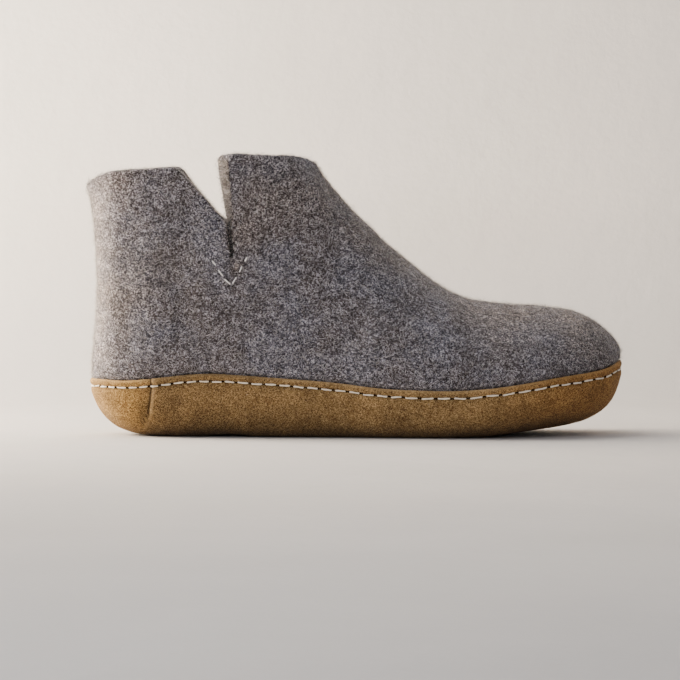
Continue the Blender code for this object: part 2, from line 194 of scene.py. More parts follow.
def topEnds(side):
    at = collar[:, 0] * form["collarLength"] - form["collarOverhang"]
    up = collar[:, 2] * form["heelHeight"] + collar[:, 3] * form["collarHeight"]
    collarTop = np.column_stack([at, collar[:, 1] * form["collarWidth"] * side, up])
    collarLean = np.column_stack([
        collar[:, 4] * form["length"], collar[:, 5] * form["collarWidth"] * side, np.zeros(len(collar))])
    front = form["collarLength"] - form["collarOverhang"]
    ridgeAt = front + ridge[:, 0] * (form["length"] - form["toeRound"] - front)
    ridgeUp = ridge[:, 2] * form["collarHeight"] + ridge[:, 3] * form["vampHeight"]
    ridgeTop = np.column_stack([ridgeAt, ridge[:, 1] * form["ballWidth"], ridgeUp])
    places = np.arange(len(ridge), dtype=float)
    nearby = 0.02
    ahead = smoothOpen(ridgeTop, np.minimum(places + nearby, places[-1]))
    behind = smoothOpen(ridgeTop, np.maximum(places - nearby, 0))
    ridgeLean = unit(ahead - behind) * (ridge[:, 4] * form["toeRound"])[:, None]
    ridgeLean = ridgeLean + np.outer(ridge[:, 5] * form["ballWidth"] * side, (0, 1, 0))
    return np.vstack([collarTop, ridgeTop]), np.vstack([collarLean, ridgeLean])


def middleLine(foot):
    across = (foot + foot[(-np.arange(len(foot))) % len(foot)]) / 2
    low, high = form["spine"]
    x = low * form["length"] + (high - low) * foot[:, 0]
    return np.column_stack([x, across[:, 1], floorHeight(x)])


def ribHandles():
    # four handles for the felt above the suede's edge and four for the sole's side below it
    at = footprint[:, 0]
    share = np.clip((at - form["waist"][0]) / (form["waist"][1] - form["waist"][0]), 0, 1)
    widths = form["heelWidth"] + (form["ballWidth"] - form["heelWidth"]) * share ** 2 * (3 - 2 * share)
    rim = footprint[:, 3] * form["suedeRim"]
    outerFoot = np.column_stack([at * form["length"], -footprint[:, 1] * widths, rim])
    innerFoot = np.column_stack([at * form["length"], footprint[:, 2] * widths, rim])
    foot = bothSides(outerFoot, innerFoot)
    places = np.arange(len(foot), dtype=float)
    nearby = 0.02
    tangent = smoothLoop(foot, places + nearby) - smoothLoop(foot, places - nearby)
    tangent = unit(tangent * (1, 1, 0))
    outward = np.column_stack([tangent[:, 1], -tangent[:, 0], np.zeros(len(foot))])
    outerTop, outerLean = topEnds(-1)
    innerTop, innerLean = topEnds(1)
    top = bothSides(outerTop, innerTop)
    lean = bothSides(outerLean, innerLean)
    rise, fall, swell, tuck, drop, roll, lift = (bothSides(c[:, None], c[:, None]) for c in ribShape.T)
    width = bothSides(widths[:, None], widths[:, None])
    chord = top - foot
    climb = np.sum(chord * tangent, axis=1, keepdims=True) * tangent + chord * (0, 0, 1)
    fromHeel = np.minimum(places, len(foot) - places)
    onCollar = (fromHeel < form["ridgeStart"])[:, None]
    wall = [
        foot,
        foot + rise * climb + outward * swell * width,
        top + lean - np.where(onCollar, fall * climb, 0),
        top,
    ]
    contact = foot + (middleLine(foot) - foot) * tuck
    contact[:, 2] = floorHeight(contact[:, 0])
    side = [
        foot,
        foot - drop * foot * (0, 0, 1),
        contact + (foot - contact) * (1, 1, 0) * roll + foot * (0, 0, 1) * lift,
        contact,
    ]
    return wall, side


wallRing, sideRing = ribHandles()
sectionCount = len(footprint)
ringLength = len(wallRing[0])


def wallHandles(t):
    # the collar's top is one closed curve, and the ridge another that starts at its front
    handles = [smoothLoop(points, t) for points in wallRing]
    top = wallRing[3]
    start = form["ridgeStart"]
    fromHeel = np.minimum(t, ringLength - t)
    collarRing = np.vstack([top[:start + 1], top[ringLength - start + 1:]])
    around = np.where(t <= ringLength / 2, t, t - ringLength)
    onCollar = smoothLoop(collarRing, around)
    onRidge = smoothOpen(top[start:sectionCount], np.maximum(fromHeel - start, 0))
    handles[3] = np.where((fromHeel >= start)[:, None], onRidge, onCollar)
    return handles


def sideHandles(t):
    handles = [smoothLoop(points, t) for points in sideRing]
    handles[3][:, 2] = floorHeight(handles[3][:, 0])
    handles[2][:, 2] = np.maximum(handles[2][:, 2], handles[3][:, 2])
    return handles


def softNoise(points, size, seed):
    # smooth lattice noise from -1 to 1, with features about one size across
    place = points / size + seed * 13.7
    cell = np.floor(place).astype(np.int64)
    blend = place - cell
    blend = blend * blend * (3 - 2 * blend)
    total = np.zeros(len(points))
    for corner in range(8):
        step = np.array([corner & 1, corner >> 1 & 1, corner >> 2])
        x, y, z = (cell + step).T
        mixed = x * 73856093 ^ y * 19349663 ^ z * 83492791 ^ seed * 2654435
        mixed = (mixed ^ (mixed >> 13)) * 1274126177 & 0x7fffffff
        value = ((mixed ^ (mixed >> 15)) & 0xffff) / 32767.5 - 1
        total += value * np.prod(np.where(step, blend, 1 - blend), axis=1)
    return total


def smoothStep(low, high, value):
    share = np.clip((value - low) / (high - low), 0, 1)
    return share * share * (3 - 2 * share)


def lengthsAlong(points):
    # how far each point is from the first, along its own line
    steps = np.linalg.norm(np.diff(points, axis=0), axis=-1)
    return np.concatenate([np.zeros((1, *steps.shape[1:])), np.cumsum(steps, axis=0)])


def ringFaces(rings, corners):
    # quads between rings of points that follow each other
    faces = []
    for row in range(rings - 1):
        for k in range(corners):
            a, b = row * corners + k, row * corners + (k + 1) % corners
            faces.append([a, b, b + corners, a + corners])
    return faces


def intoScene(name, data):
    thing = bpy.data.objects.new(name, data)
    bpy.context.scene.collection.objects.link(thing)
    return thing


def newMesh(name, places, faces):
    # faces: an array of triangles or quads, or a list of faces of mixed sizes
    mesh = bpy.data.meshes.new(name)
    if isinstance(faces, np.ndarray):
        corners = faces.shape[1]
        mesh.vertices.add(len(places))
        mesh.vertices.foreach_set("co", np.ascontiguousarray(places, dtype=np.float32).ravel())
        mesh.loops.add(faces.size)
        mesh.loops.foreach_set("vertex_index", faces.astype(np.int32).ravel())
        mesh.polygons.add(len(faces))
        mesh.polygons.foreach_set("loop_start", np.arange(0, faces.size, corners, dtype=np.int32))
        mesh.update(calc_edges=True)
        mesh.validate()
    else:
        mesh.from_pydata([tuple(place) for place in places], [], faces)
        mesh.update()
    return mesh


def newPiece(name, mesh, material, smooth=True):
    mesh.materials.append(material)
    if smooth:
        mesh.shade_smooth()
    piece = intoScene(name, mesh)
    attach(piece, "root")
    return piece


def storeValues(mesh, name, values):
    layer = mesh.attributes.new(name, "FLOAT", "POINT")
    layer.data.foreach_set("value", np.ascontiguousarray(values, dtype=np.float32))


def storeOnShell(mesh, **values):
    # the same values on the outer and the inner copy of a sheet
    for name, value in values.items():
        storeValues(mesh, name, np.concatenate([value, value]))


def vertexNormals(places, faces):
    guide = newMesh("guide", places, faces)
    normals = np.empty(len(guide.vertices) * 3)
    guide.vertices.foreach_get("normal", normals)
    bpy.data.meshes.remove(guide)
    return normals.reshape(-1, 3)


def joinGrid(rows, split, joined):
    # rows: one array of points per row. split: columns cut open in the flap rows.
    # joined(row): how the two sides share points there. Returns points, faces and index.
    columns = len(rows[0][1])
    index = {}
    places = []

    def vertex(j, row, face):
        j = j % columns
        kind, points = rows[row]
        if kind == "spine" or (kind == "crown" and joined[j]):
            key = (min(j, (columns - j) % columns), row, 0)
        elif kind in ("flap", "crown") and j in split:
            key = (j, row, 1 if split[0] <= face < split[1] else 0)
        else:
            key = (j, row, 0)
        if key not in index:
            index[key] = len(places)
            places.append(points[j])
        return index[key]

    faces = []
    for row in range(len(rows) - 1):
        for j in range(columns):
            corners = [vertex(j, row, j), vertex(j + 1, row, j),
                       vertex(j + 1, row + 1, j), vertex(j, row + 1, j)]
            corners = list(dict.fromkeys(corners))
            if len(corners) > 2:
                faces.append(corners)
    return np.array(places), faces, index


def freeEdges(faces):
    count = {}
    for face in faces:
        for a, b in zip(face, face[1:] + face[:1]):
            count[a, b] = count.get((a, b), 0) + 1
    return [edge for edge in count if (edge[1], edge[0]) not in count]


def closeShell(outer, inner, faces):
    # two copies of one sheet, joined along every free edge
    count = len(outer)
    shell = [list(face) for face in faces]
    shell += [[corner + count for corner in reversed(face)] for face in faces]
    shell += [[b, a, a + count, b + count] for a, b in freeEdges(faces)]
    return np.vstack([outer, inner]), shell


def toFrame(places):
    return places - np.array([form["heelToMiddle"], form["middleAside"], 0.0])


# columns round the foot: even steps, closer at the slits, the collar's front and the dart
grid = {
    "perSection": 12,
    "atSlit": (-0.07, -0.035, -0.012, 0.012, 0.035, 0.07),
    "atCollarFront": (0.02, 0.05, 0.12),
    "dart": (1.78, 2.36, 46),
}


def columnPlaces():
    even = np.arange(ringLength * grid["perSection"]) / grid["perSection"]
    slit = form["notchPoint"] + np.array(grid["atSlit"])
    front = form["ridgeStart"] + np.array(grid["atCollarFront"])
    dart = np.linspace(*grid["dart"])
    half = np.concatenate([even[even <= ringLength / 2], slit, front, dart])
    half = np.unique(np.round(half, 4))
    return np.concatenate([half, ringLength - half[-2:0:-1]])


columnT = columnPlaces()
columnCount = len(columnT)
columnFromHeel = np.minimum(columnT, ringLength - columnT)
slitColumns = (int(np.argmin(abs(columnT - form["notchPoint"]))),
               int(np.argmin(abs(columnT - (ringLength - form["notchPoint"])))))
wallHere = wallHandles(columnT)
sideHere = sideHandles(columnT)
onRidge = columnFromHeel >= form["ridgeStart"] - 1e-6
print("form ready:", columnCount, "columns")


# shader groups and materials

def addNode(tree, kind, **settings):
    node = tree.nodes.new("ShaderNode" + kind)
    for name, value in settings.items():
        if hasattr(node, name):
            setattr(node, name, value)
        else:
            node.inputs[name.replace("_", " ")].default_value = value
    return node


def link(tree, source, target):
    tree.links.new(source, target)


def mathNode(tree, operation, first, second=None, third=None, clamp=False):
    node = addNode(tree, "Math", operation=operation, use_clamp=clamp)
    for socket, value in zip(node.inputs, (first, second, third)):
        if isinstance(value, (int, float)):
            socket.default_value = value
        elif value is not None:
            link(tree, value, socket)
    return node.outputs[0]


def rangeNode(tree, value, low, high, toLow=0.0, toHigh=1.0):
    node = addNode(tree, "MapRange", interpolation_type="SMOOTHSTEP")
    link(tree, value, node.inputs["Value"])
    for name, setting in (("From Min", low), ("From Max", high), ("To Min", toLow), ("To Max", toHigh)):
        node.inputs[name].default_value = setting
    return node.outputs["Result"]


def mixNode(tree, share, first, second, blend="MIX"):
    node = addNode(tree, "Mix", data_type="RGBA", blend_type=blend)
    for socket, value in ((node.inputs[0], share), (node.inputs[6], first), (node.inputs[7], second)):
        if isinstance(value, (int, float)):
            socket.default_value = value
        elif isinstance(value, tuple):
            socket.default_value = (*value, 1)
        else:
            link(tree, value, socket)
    return node.outputs[2]


def noiseNode(tree, vector, scale, detail=2.0, roughness=0.5):
    node = addNode(tree, "TexNoise", Detail=detail, Roughness=roughness)
    if isinstance(scale, (int, float)):
        node.inputs["Scale"].default_value = scale
    else:
        link(tree, scale, node.inputs["Scale"])
    link(tree, vector, node.inputs["Vector"])
    return node.outputs["Fac"]


def meshValue(tree, name):
    return addNode(tree, "Attribute", attribute_name=name).outputs["Fac"]


def sumNode(tree, first, firstShare, second, secondShare):
    return mathNode(tree, "ADD", mathNode(tree, "MULTIPLY", first, firstShare),
                    mathNode(tree, "MULTIPLY", second, secondShare))


def splitNode(tree, where):
    split = addNode(tree, "SeparateXYZ")
    link(tree, where, split.inputs[0])
    return split.outputs


def threeTones(tree, value, dark, middle, light, turn=0.5):
    low = mixNode(tree, rangeNode(tree, value, 0.0, turn), dark, middle)
    return mixNode(tree, rangeNode(tree, value, 0.5, 1.0), low, light)


def colourShaded(tree, shader, colour, factor):
    tinted = addNode(tree, "VectorMath", operation="SCALE")
    link(tree, colour, tinted.inputs[0])
    link(tree, factor, tinted.inputs["Scale"])
    link(tree, tinted.outputs[0], shader.inputs["Base Color"])


def newGroup(name, inputs, outputs):
    group = bpy.data.node_groups.new(name, "ShaderNodeTree")
    for label, kind, value in inputs:
        socket = group.interface.new_socket(label, in_out="INPUT", socket_type="NodeSocket" + kind)
        if value is not None:
            socket.default_value = value
    for label, kind in outputs:
        group.interface.new_socket(label, in_out="OUTPUT", socket_type="NodeSocket" + kind)
    return group, group.nodes.new("NodeGroupInput"), group.nodes.new("NodeGroupOutput")


matting = {
    "strandScale": 1380.0,
    "stretch": 0.38,
    "wander": 0.002,
    "warpScale": 150.0,
    "turns": ((0.0, 0.12, 0.3), (0.0, 0.75, -0.5), (0.0, -0.6, 0.5), (0.4, 1.5, 0.0)),
    "grainScale": 1950.0,
    "strandShare": 0.60,
    "grainShare": 0.40,
    "patchScale": 42.0,
    "blotchScale": 230.0,
}


def fibreGroup():
    # matted strands that lie in several directions, and wide patches of other wool
    group, given, out = newGroup(
        "mattedFibres",
        [("Vector", "Vector", None), ("Strand Scale", "Float", matting["strandScale"]),
         ("Stretch", "Float", matting["stretch"]), ("Wander", "Float", matting["wander"])],
        [("Mottle", "Float"), ("Grain", "Float"), ("Patches", "Float"), ("Blotches", "Float"),
         ("Height", "Float")])
    vector = given.outputs["Vector"]
    warp = addNode(group, "TexNoise", Scale=matting["warpScale"], Detail=1.0)
    link(group, vector, warp.inputs["Vector"])
    centred = addNode(group, "VectorMath", operation="SUBTRACT")
    link(group, warp.outputs["Color"], centred.inputs[0])
    centred.inputs[1].default_value = (0.5, 0.5, 0.5)
    scaled = addNode(group, "VectorMath", operation="SCALE")
    link(group, centred.outputs[0], scaled.inputs[0])
    link(group, given.outputs["Wander"], scaled.inputs["Scale"])
    moved = addNode(group, "VectorMath", operation="ADD")
    link(group, vector, moved.inputs[0])
    link(group, scaled.outputs[0], moved.inputs[1])
    squeeze = addNode(group, "CombineXYZ", Y=1.0, Z=1.0)
    link(group, given.outputs["Stretch"], squeeze.inputs["X"])
    strands = []
    for turn in matting["turns"]:
        turned = addNode(group, "VectorRotate", rotation_type="EULER_XYZ")
        turned.inputs["Rotation"].default_value = turn
        link(group, moved.outputs[0], turned.inputs["Vector"])
        drawn = addNode(group, "VectorMath", operation="MULTIPLY")
        link(group, turned.outputs[0], drawn.inputs[0])
        link(group, squeeze.outputs[0], drawn.inputs[1])
        strands.append(noiseNode(group, drawn.outputs[0], given.outputs["Strand Scale"], 1.5, 0.6))
    light = mathNode(group, "MAXIMUM", strands[0], strands[1])
    dark = mathNode(group, "MINIMUM", strands[2], strands[3])
    both = mathNode(group, "MULTIPLY", mathNode(group, "ADD", light, dark), 0.5)
    grain = noiseNode(group, vector, matting["grainScale"], 2.0, 0.65)
    mottle = sumNode(group, both, matting["strandShare"], grain, matting["grainShare"])
    link(group, rangeNode(group, mottle, 0.38, 0.62), out.inputs["Mottle"])
    link(group, rangeNode(group, grain, 0.3, 0.7), out.inputs["Grain"])
    patches = noiseNode(group, vector, matting["patchScale"], 2.5, 0.6)
    link(group, rangeNode(group, patches, 0.34, 0.66), out.inputs["Patches"])
    blotches = noiseNode(group, moved.outputs[0], matting["blotchScale"], 2.0, 0.6)
    link(group, rangeNode(group, blotches, 0.36, 0.68), out.inputs["Blotches"])
    link(group, both, out.inputs["Height"])
    return group


nap = {
    "speckleScale": 3300.0,
    "coarseScale": 1250.0,
    "fineShare": 0.7,
    "coarseShare": 0.3,
    "brushedScale": 75.0,
    "rubbedScale": 170.0,
}


def napGroup():
    # short nap: fine speckle, brushed patches and rubbed spots
    group, given, out = newGroup(
        "shortNap",
        [("Vector", "Vector", None), ("Speckle Scale", "Float", nap["speckleScale"])],
        [("Speckle", "Float"), ("Brushed", "Float"), ("Rubbed", "Float"), ("Height", "Float")])
    vector = given.outputs["Vector"]
    fine = noiseNode(group, vector, given.outputs["Speckle Scale"], 2.0, 0.7)
    coarse = noiseNode(group, vector, nap["coarseScale"], 2.0, 0.6)
    speckle = sumNode(group, fine, nap["fineShare"], coarse, nap["coarseShare"])
    link(group, rangeNode(group, speckle, 0.38, 0.62), out.inputs["Speckle"])
    brushed = noiseNode(group, vector, nap["brushedScale"], 3.0, 0.6)
    link(group, rangeNode(group, brushed, 0.35, 0.65), out.inputs["Brushed"])
    rubbed = noiseNode(group, vector, nap["rubbedScale"], 3.0, 0.65)
    link(group, rangeNode(group, rubbed, 0.55, 0.72), out.inputs["Rubbed"])
    link(group, speckle, out.inputs["Height"])
    return group


mattedFibres = fibreGroup()
shortNap = napGroup()


def newMaterial(name, roughness, **settings):
    material = bpy.data.materials.new(name)
    material.use_nodes = True
    tree = material.node_tree
    shader = tree.nodes["Principled BSDF"]
    shader.inputs["Roughness"].default_value = roughness
    for label, value in settings.items():
        shader.inputs[label.replace("_", " ")].default_value = value
    where = addNode(tree, "TexCoord").outputs["Object"]
    return material, tree, shader, where


def placeGroup(tree, group, where, **values):
    node = tree.nodes.new("ShaderNodeGroup")
    node.node_tree = group
    link(tree, where, node.inputs["Vector"])
    for name, value in values.items():
        node.inputs[name.replace("_", " ")].default_value = value
    return node


def bumpFrom(tree, shader, height, depth, strength=1.0):
    bump = addNode(tree, "Bump", Strength=strength, Distance=depth)
    link(tree, height, bump.inputs["Height"])
    link(tree, bump.outputs["Normal"], shader.inputs["Normal"])


feltLook = {
    "dark": (0.010, 0.008, 0.009),
    "middle": (0.081, 0.074, 0.086),
    "light": (0.425, 0.405, 0.440),
    "brown": (0.090, 0.063, 0.052),
    "blue": (0.076, 0.078, 0.106),
    # light strands turn to this warm tone in browner wool, and as painted warm light on the lit heel,
    # instep, toe and cut faces
    "warmLight": (0.640, 0.520, 0.430),
    "otherWool": 0.55,         # share of brown and blue in the middle tone
    "browner": 0.6,            # what the warm patches take from the blue
    "warmer": 0.9,             # and give to the light strands
    "blotches": (0.70, 1.16),
    "patches": (0.92, 1.06),
    "grainHeight": 0.25,
    "roughness": 0.95,
    "depth": 0.0004,
}


def feltMaterial():
    look = feltLook
    material, tree, shader, where = newMaterial(
        "heatheredFelt", look["roughness"], Sheen_Weight=0.1, Sheen_Roughness=0.6, Specular_IOR_Level=0.15)
    wool = placeGroup(tree, mattedFibres, where)
    patches = wool.outputs["Patches"]
    # browner wool, and painted warm light on the lit heel, instep, toe and cut faces, warm the ground and
    # the light strands
    warmth = meshValue(tree, "warmth")
    taken = mathNode(tree, "MULTIPLY", warmth, look["browner"])
    blueness = mathNode(tree, "SUBTRACT", patches, taken, clamp=True)
    ground = mixNode(tree, blueness, look["brown"], look["blue"])
    ground = mixNode(tree, look["otherWool"], look["middle"], ground)
    warmer = mathNode(tree, "MULTIPLY", warmth, look["warmer"], clamp=True)
    light = mixNode(tree, warmer, look["light"], look["warmLight"])
    tone = threeTones(tree, wool.outputs["Mottle"], look["dark"], ground, light)
    shade = rangeNode(tree, wool.outputs["Blotches"], 0.0, 1.0, *look["blotches"])
    shade = mathNode(tree, "MULTIPLY", shade, rangeNode(tree, patches, 0.0, 1.0, *look["patches"]))
    # darker with painted shade in the creases, on the cut faces and in the slits, paler with painted
    # highlights where the value is negative, and darker or paler with the wool's own patches
    darker = meshValue(tree, "shade")
    shade = mathNode(tree, "MULTIPLY", shade, mathNode(tree, "SUBTRACT", 1.0, darker))
    colourShaded(tree, shader, tone, shade)
    height = mathNode(tree, "ADD", wool.outputs["Height"],
                      mathNode(tree, "MULTIPLY", wool.outputs["Grain"], look["grainHeight"]))
    bumpFrom(tree, shader, height, look["depth"])
    return material


def fibreMaterial(name, dark, light, roughness):
    # one strand is one tone, from the mesh's tone value
    material, tree, shader, where = newMaterial(name, roughness, Sheen_Weight=0.2, Specular_IOR_Level=0.3)
    along = noiseNode(tree, where, 700.0, 1.0)
    mixed = sumNode(tree, meshValue(tree, "tone"), 0.8, along, 0.2)
    link(tree, mixNode(tree, mixed, dark, light), shader.inputs["Base Color"])
    return material


suedeLook = {
    "dark": (0.058, 0.028, 0.010),
    "middle": (0.205, 0.120, 0.048),
    "light": (0.530, 0.350, 0.155),
    # painted warm light makes the heel yellower
    "heelWarmLight": (1.0, 0.95, 0.74),
    "rubbed": (0.100, 0.045, 0.014),
    # painted highlight on the suede's rolled top edge and the dart's lap
    "edge": (0.500, 0.335, 0.165),
    # painted shade in the dart's crease and under the thread
    "fold": (0.020, 0.010, 0.004),
    "redder": (1.06, 0.88, 0.66),
    "rubbedShare": 0.45,
    "edgeHighlightShare": 0.42,
    # from x to x (or height to height), value to value
    # painted light: the heel panel, lit from behind, brighter than the suede ahead of it, which grows
    # brighter again towards the toe
    "litHeelPanel": (-0.108, -0.092, 1.08, 0.74),
    "brighter": (-0.085, 0.02, 1.0, 1.31),
    "redderFrom": (0.045, 0.125),
    "heelWarmLightTo": (-0.112, -0.095, 1.0, 0.0),
    # painted shade where the suede turns under the foot
    "shadeUnderFoot": (0.0, 0.016, 0.66, 1.0),
    "brushed": (0.84, 1.12),
    "depth": 0.00035,
}


def suedeMaterial():
    look = suedeLook
    material, tree, shader, where = newMaterial(
        "tanSuede", 0.9, Sheen_Weight=0.04, Sheen_Roughness=0.5, Specular_IOR_Level=0.12)
    pile = placeGroup(tree, shortNap, where)
    ground = threeTones(tree, pile.outputs["Speckle"], look["dark"], look["middle"], look["light"], 0.55)
    rubbed = mathNode(tree, "MULTIPLY", pile.outputs["Rubbed"], look["rubbedShare"])
    ground = mixNode(tree, rubbed, ground, look["rubbed"])
    # painted highlight along the rolled top edge and the dart's lapped edge
    edge = mathNode(tree, "MULTIPLY", meshValue(tree, "cutEdge"), look["edgeHighlightShare"])
    ground = mixNode(tree, edge, ground, look["edge"])
    # painted shade in the dart's crease and under the thread
    ground = mixNode(tree, meshValue(tree, "fold"), ground, look["fold"])
    # painted warm light makes the heel pale yellow, the toe is redder, and painted shade darkens the suede
    # where it turns under the foot
    place = splitNode(tree, where)
    redder = rangeNode(tree, place["X"], *look["redderFrom"])
    ground = mixNode(tree, redder, ground, look["redder"], "MULTIPLY")
    yellower = rangeNode(tree, place["X"], *look["heelWarmLightTo"])
    ground = mixNode(tree, yellower, ground, look["heelWarmLight"], "MULTIPLY")
    # painted light: the heel panel brighter than the suede ahead of it, which grows brighter again towards
    # the toe
    along = mathNode(tree, "MULTIPLY", rangeNode(tree, place["X"], *look["litHeelPanel"]),
                     rangeNode(tree, place["X"], *look["brighter"]))
    # painted shade where the suede turns under the foot
    under = rangeNode(tree, place["Z"], *look["shadeUnderFoot"])
    shade = mathNode(tree, "MULTIPLY", mathNode(tree, "MULTIPLY", along, under),
                     rangeNode(tree, pile.outputs["Brushed"], 0.0, 1.0, *look["brushed"]))
    colourShaded(tree, shader, ground, shade)
    bumpFrom(tree, shader, pile.outputs["Height"], look["depth"])
    return material


threadLook = {
    # light ply, shaded ply
    "creamThread": ((0.98, 0.90, 0.77), (0.72, 0.61, 0.47)),
    "greyThread": ((0.92, 0.91, 0.90), (0.62, 0.60, 0.59)),
    "fibreScale": 2600.0,
    "plyShare": 0.7,
    "roughness": 0.6,
    "depth": 0.0001,
}


def threadMaterial(name):
    look = threadLook
    colour, shadow = look[name]
    material, tree, shader, where = newMaterial(name, look["roughness"], Specular_IOR_Level=0.4)
    fibres = noiseNode(tree, where, look["fibreScale"], 2.0, 0.6)
    mixed = sumNode(tree, meshValue(tree, "ply"), look["plyShare"], fibres, 0.3)
    link(tree, mixNode(tree, mixed, shadow, colour), shader.inputs["Base Color"])
    bumpFrom(tree, shader, fibres, look["depth"])
    return material


holeLook = {
    # the dark rims and the near black pit are painted shade in and round each needle hole
    "darkRim": (0.030, 0.014, 0.006),
    "lightRim": (0.075, 0.038, 0.015),
    "pit": (0.004, 0.003, 0.003),
    "grainScale": 2200.0,
}


def holeMaterial():
    look = holeLook
    material, tree, shader, where = newMaterial("needleHole", 0.95, Specular_IOR_Level=0.1)
    grain = noiseNode(tree, where, look["grainScale"], 2.0, 0.6)
    rim = mixNode(tree, grain, look["darkRim"], look["lightRim"])
    link(tree, mixNode(tree, meshValue(tree, "depth"), rim, look["pit"]), shader.inputs["Base Color"])
    return material


footbedLook = {
    "dark": (0.115, 0.100, 0.095),
    "middle": (0.235, 0.212, 0.200),
    "light": (0.400, 0.370, 0.350),
    "worn": (0.17, 0.15, 0.14),
    "wornShare": 0.3,
    "stretch": 0.45,
    "roughness": 0.95,
    "depth": 0.0005,
}


def footbedMaterial():
    look = footbedLook
    material, tree, shader, where = newMaterial(
        "paleFelt", look["roughness"], Sheen_Weight=0.25, Sheen_Roughness=0.6, Specular_IOR_Level=0.2)
    wool = placeGroup(tree, mattedFibres, where, Stretch=look["stretch"])
    tone = threeTones(tree, wool.outputs["Mottle"], look["dark"], look["middle"], look["light"])
    worn = mathNode(tree, "MULTIPLY", wool.outputs["Patches"], look["wornShare"])
    link(tree, mixNode(tree, worn, tone, look["worn"]), shader.inputs["Base Color"])
    bumpFrom(tree, shader, wool.outputs["Height"], look["depth"])
    return material


# the felt upper: rows round the shoe, from under the footbed up to the collar

upper = {
    "under": (0.80, 0.62, 0.45, 0.28, 0.14),     # shares of the side below the suede's edge
    "aboveEdge": (0.0, 0.0004, 0.0009, 0.0015, 0.0023, 0.0034),
    "sideRows": 22,
    "flapRows": 16,
    "nearTop": (0.955, 0.972, 0.984, 0.993, 1.0),
    "pressed": 0.0021,       # how far the felt stands back behind the suede
    "standBack": 0.0008,     # and just above its edge
    "bellyReach": 0.0035,
    "collarRound": 0.0019,
    "cutRound": 0.0006,
    "frontBevel": (0.0030, 0.0016),   # the front flap's cut face leans out, towards the eye
    "bevelCurve": 0.26,
    "rearBevel": 0.0001,
    "bevelReach": 0.006,
    "cutSoften": 0.11,       # rounds the rear flap's corner, in sections
    "cutBelly": 0.03,        # and lets its cut hang a little
    "cornerDrop": 0.0016,
    "ribSpacing": 0.024,     # along the collar, near the slits
    "innerNotchBack": 0.0030,  # the inner side's notch is cut a little wider
    "lumps": ((0.034, 0.0008, 1), (0.013, 0.00035, 2), (0.0055, 0.00014, 3)),
    "creaseBank": (0.45, 1.8),   # height of a crease's bank, and how many widths away
    # painted shade in a crease's trough
    "creaseShade": 260.0,        # shade for a metre of depth
    "reliefFrom": (0.0, 0.006),  # the relief starts above the suede's edge
    "stepOut": (0.0001, 0.0013),
    "highAbove": 0.01,
    "edgeWave": 0.0005,
    "waves": ((0.009, 1.0, 7), (0.004, 0.6, 8)),
    "evenTo": 0.935,             # the flaps' rows are even up to here
    "flapLength": 0.055,
    "cornerReach": 0.05,
    "slitReach": 0.004,
    "openedTo": (0.86, 1.0),
    "rearReach": 0.0025,
    # the notch's cut faces get painted shade and painted warm light
    "cutFace": (0.0009, 0.30, 0.8),    # reach, shade, warmth
    # painted shadow in the slit's gap
    "slitLips": (0.00065, 0.85),       # reach, shade
    "toeEase": (0.2375, 0.0650, 0.0095, 0.0009),   # rounds the end of the instep's ridge
}

farFromEdge = 0.05    # stands for a row well away from the suede's edge

# soft troughs and ridges: side, path of (from heel, height), how deep, how wide
creases = [
    (-1, ((0.0560, 0.0890), (0.0622, 0.0892)), 0.0005, 0.0011),
    (-1, ((0.0721, 0.0900), (0.0727, 0.0790)), 0.0004, 0.0020),
    (-1, ((0.0880, 0.1000), (0.0800, 0.0860), (0.0735, 0.0765)), 0.0004, 0.0030),
    (-1, ((0.0200, 0.1000), (0.0170, 0.0700), (0.0190, 0.0450)), 0.0007, 0.0075),
    (-1, ((0.0460, 0.1100), (0.0420, 0.0850), (0.0480, 0.0560)), 0.0006, 0.0090),
    (-1, ((0.1480, 0.0880), (0.1560, 0.0700), (0.1600, 0.0500)), 0.0006, 0.0080),
    (-1, ((0.1900, 0.0620), (0.1880, 0.0470), (0.1930, 0.0330)), 0.0005, 0.0070),
    (1, ((0.0715, 0.0885), (0.0722, 0.0760)), 0.0004, 0.0022),
    (1, ((0.0240, 0.1020), (0.0200, 0.0700), (0.0230, 0.0450)), 0.0007, 0.0080),
    (1, ((0.0500, 0.1050), (0.0520, 0.0800), (0.0580, 0.0560)), 0.0006, 0.0090),
    (1, ((0.1420, 0.0900), (0.1520, 0.0700), (0.1570, 0.0480)), 0.0007, 0.0080),
    (1, ((0.1860, 0.0620), (0.1850, 0.0470), (0.1900, 0.0330)), 0.0005, 0.0070),
]


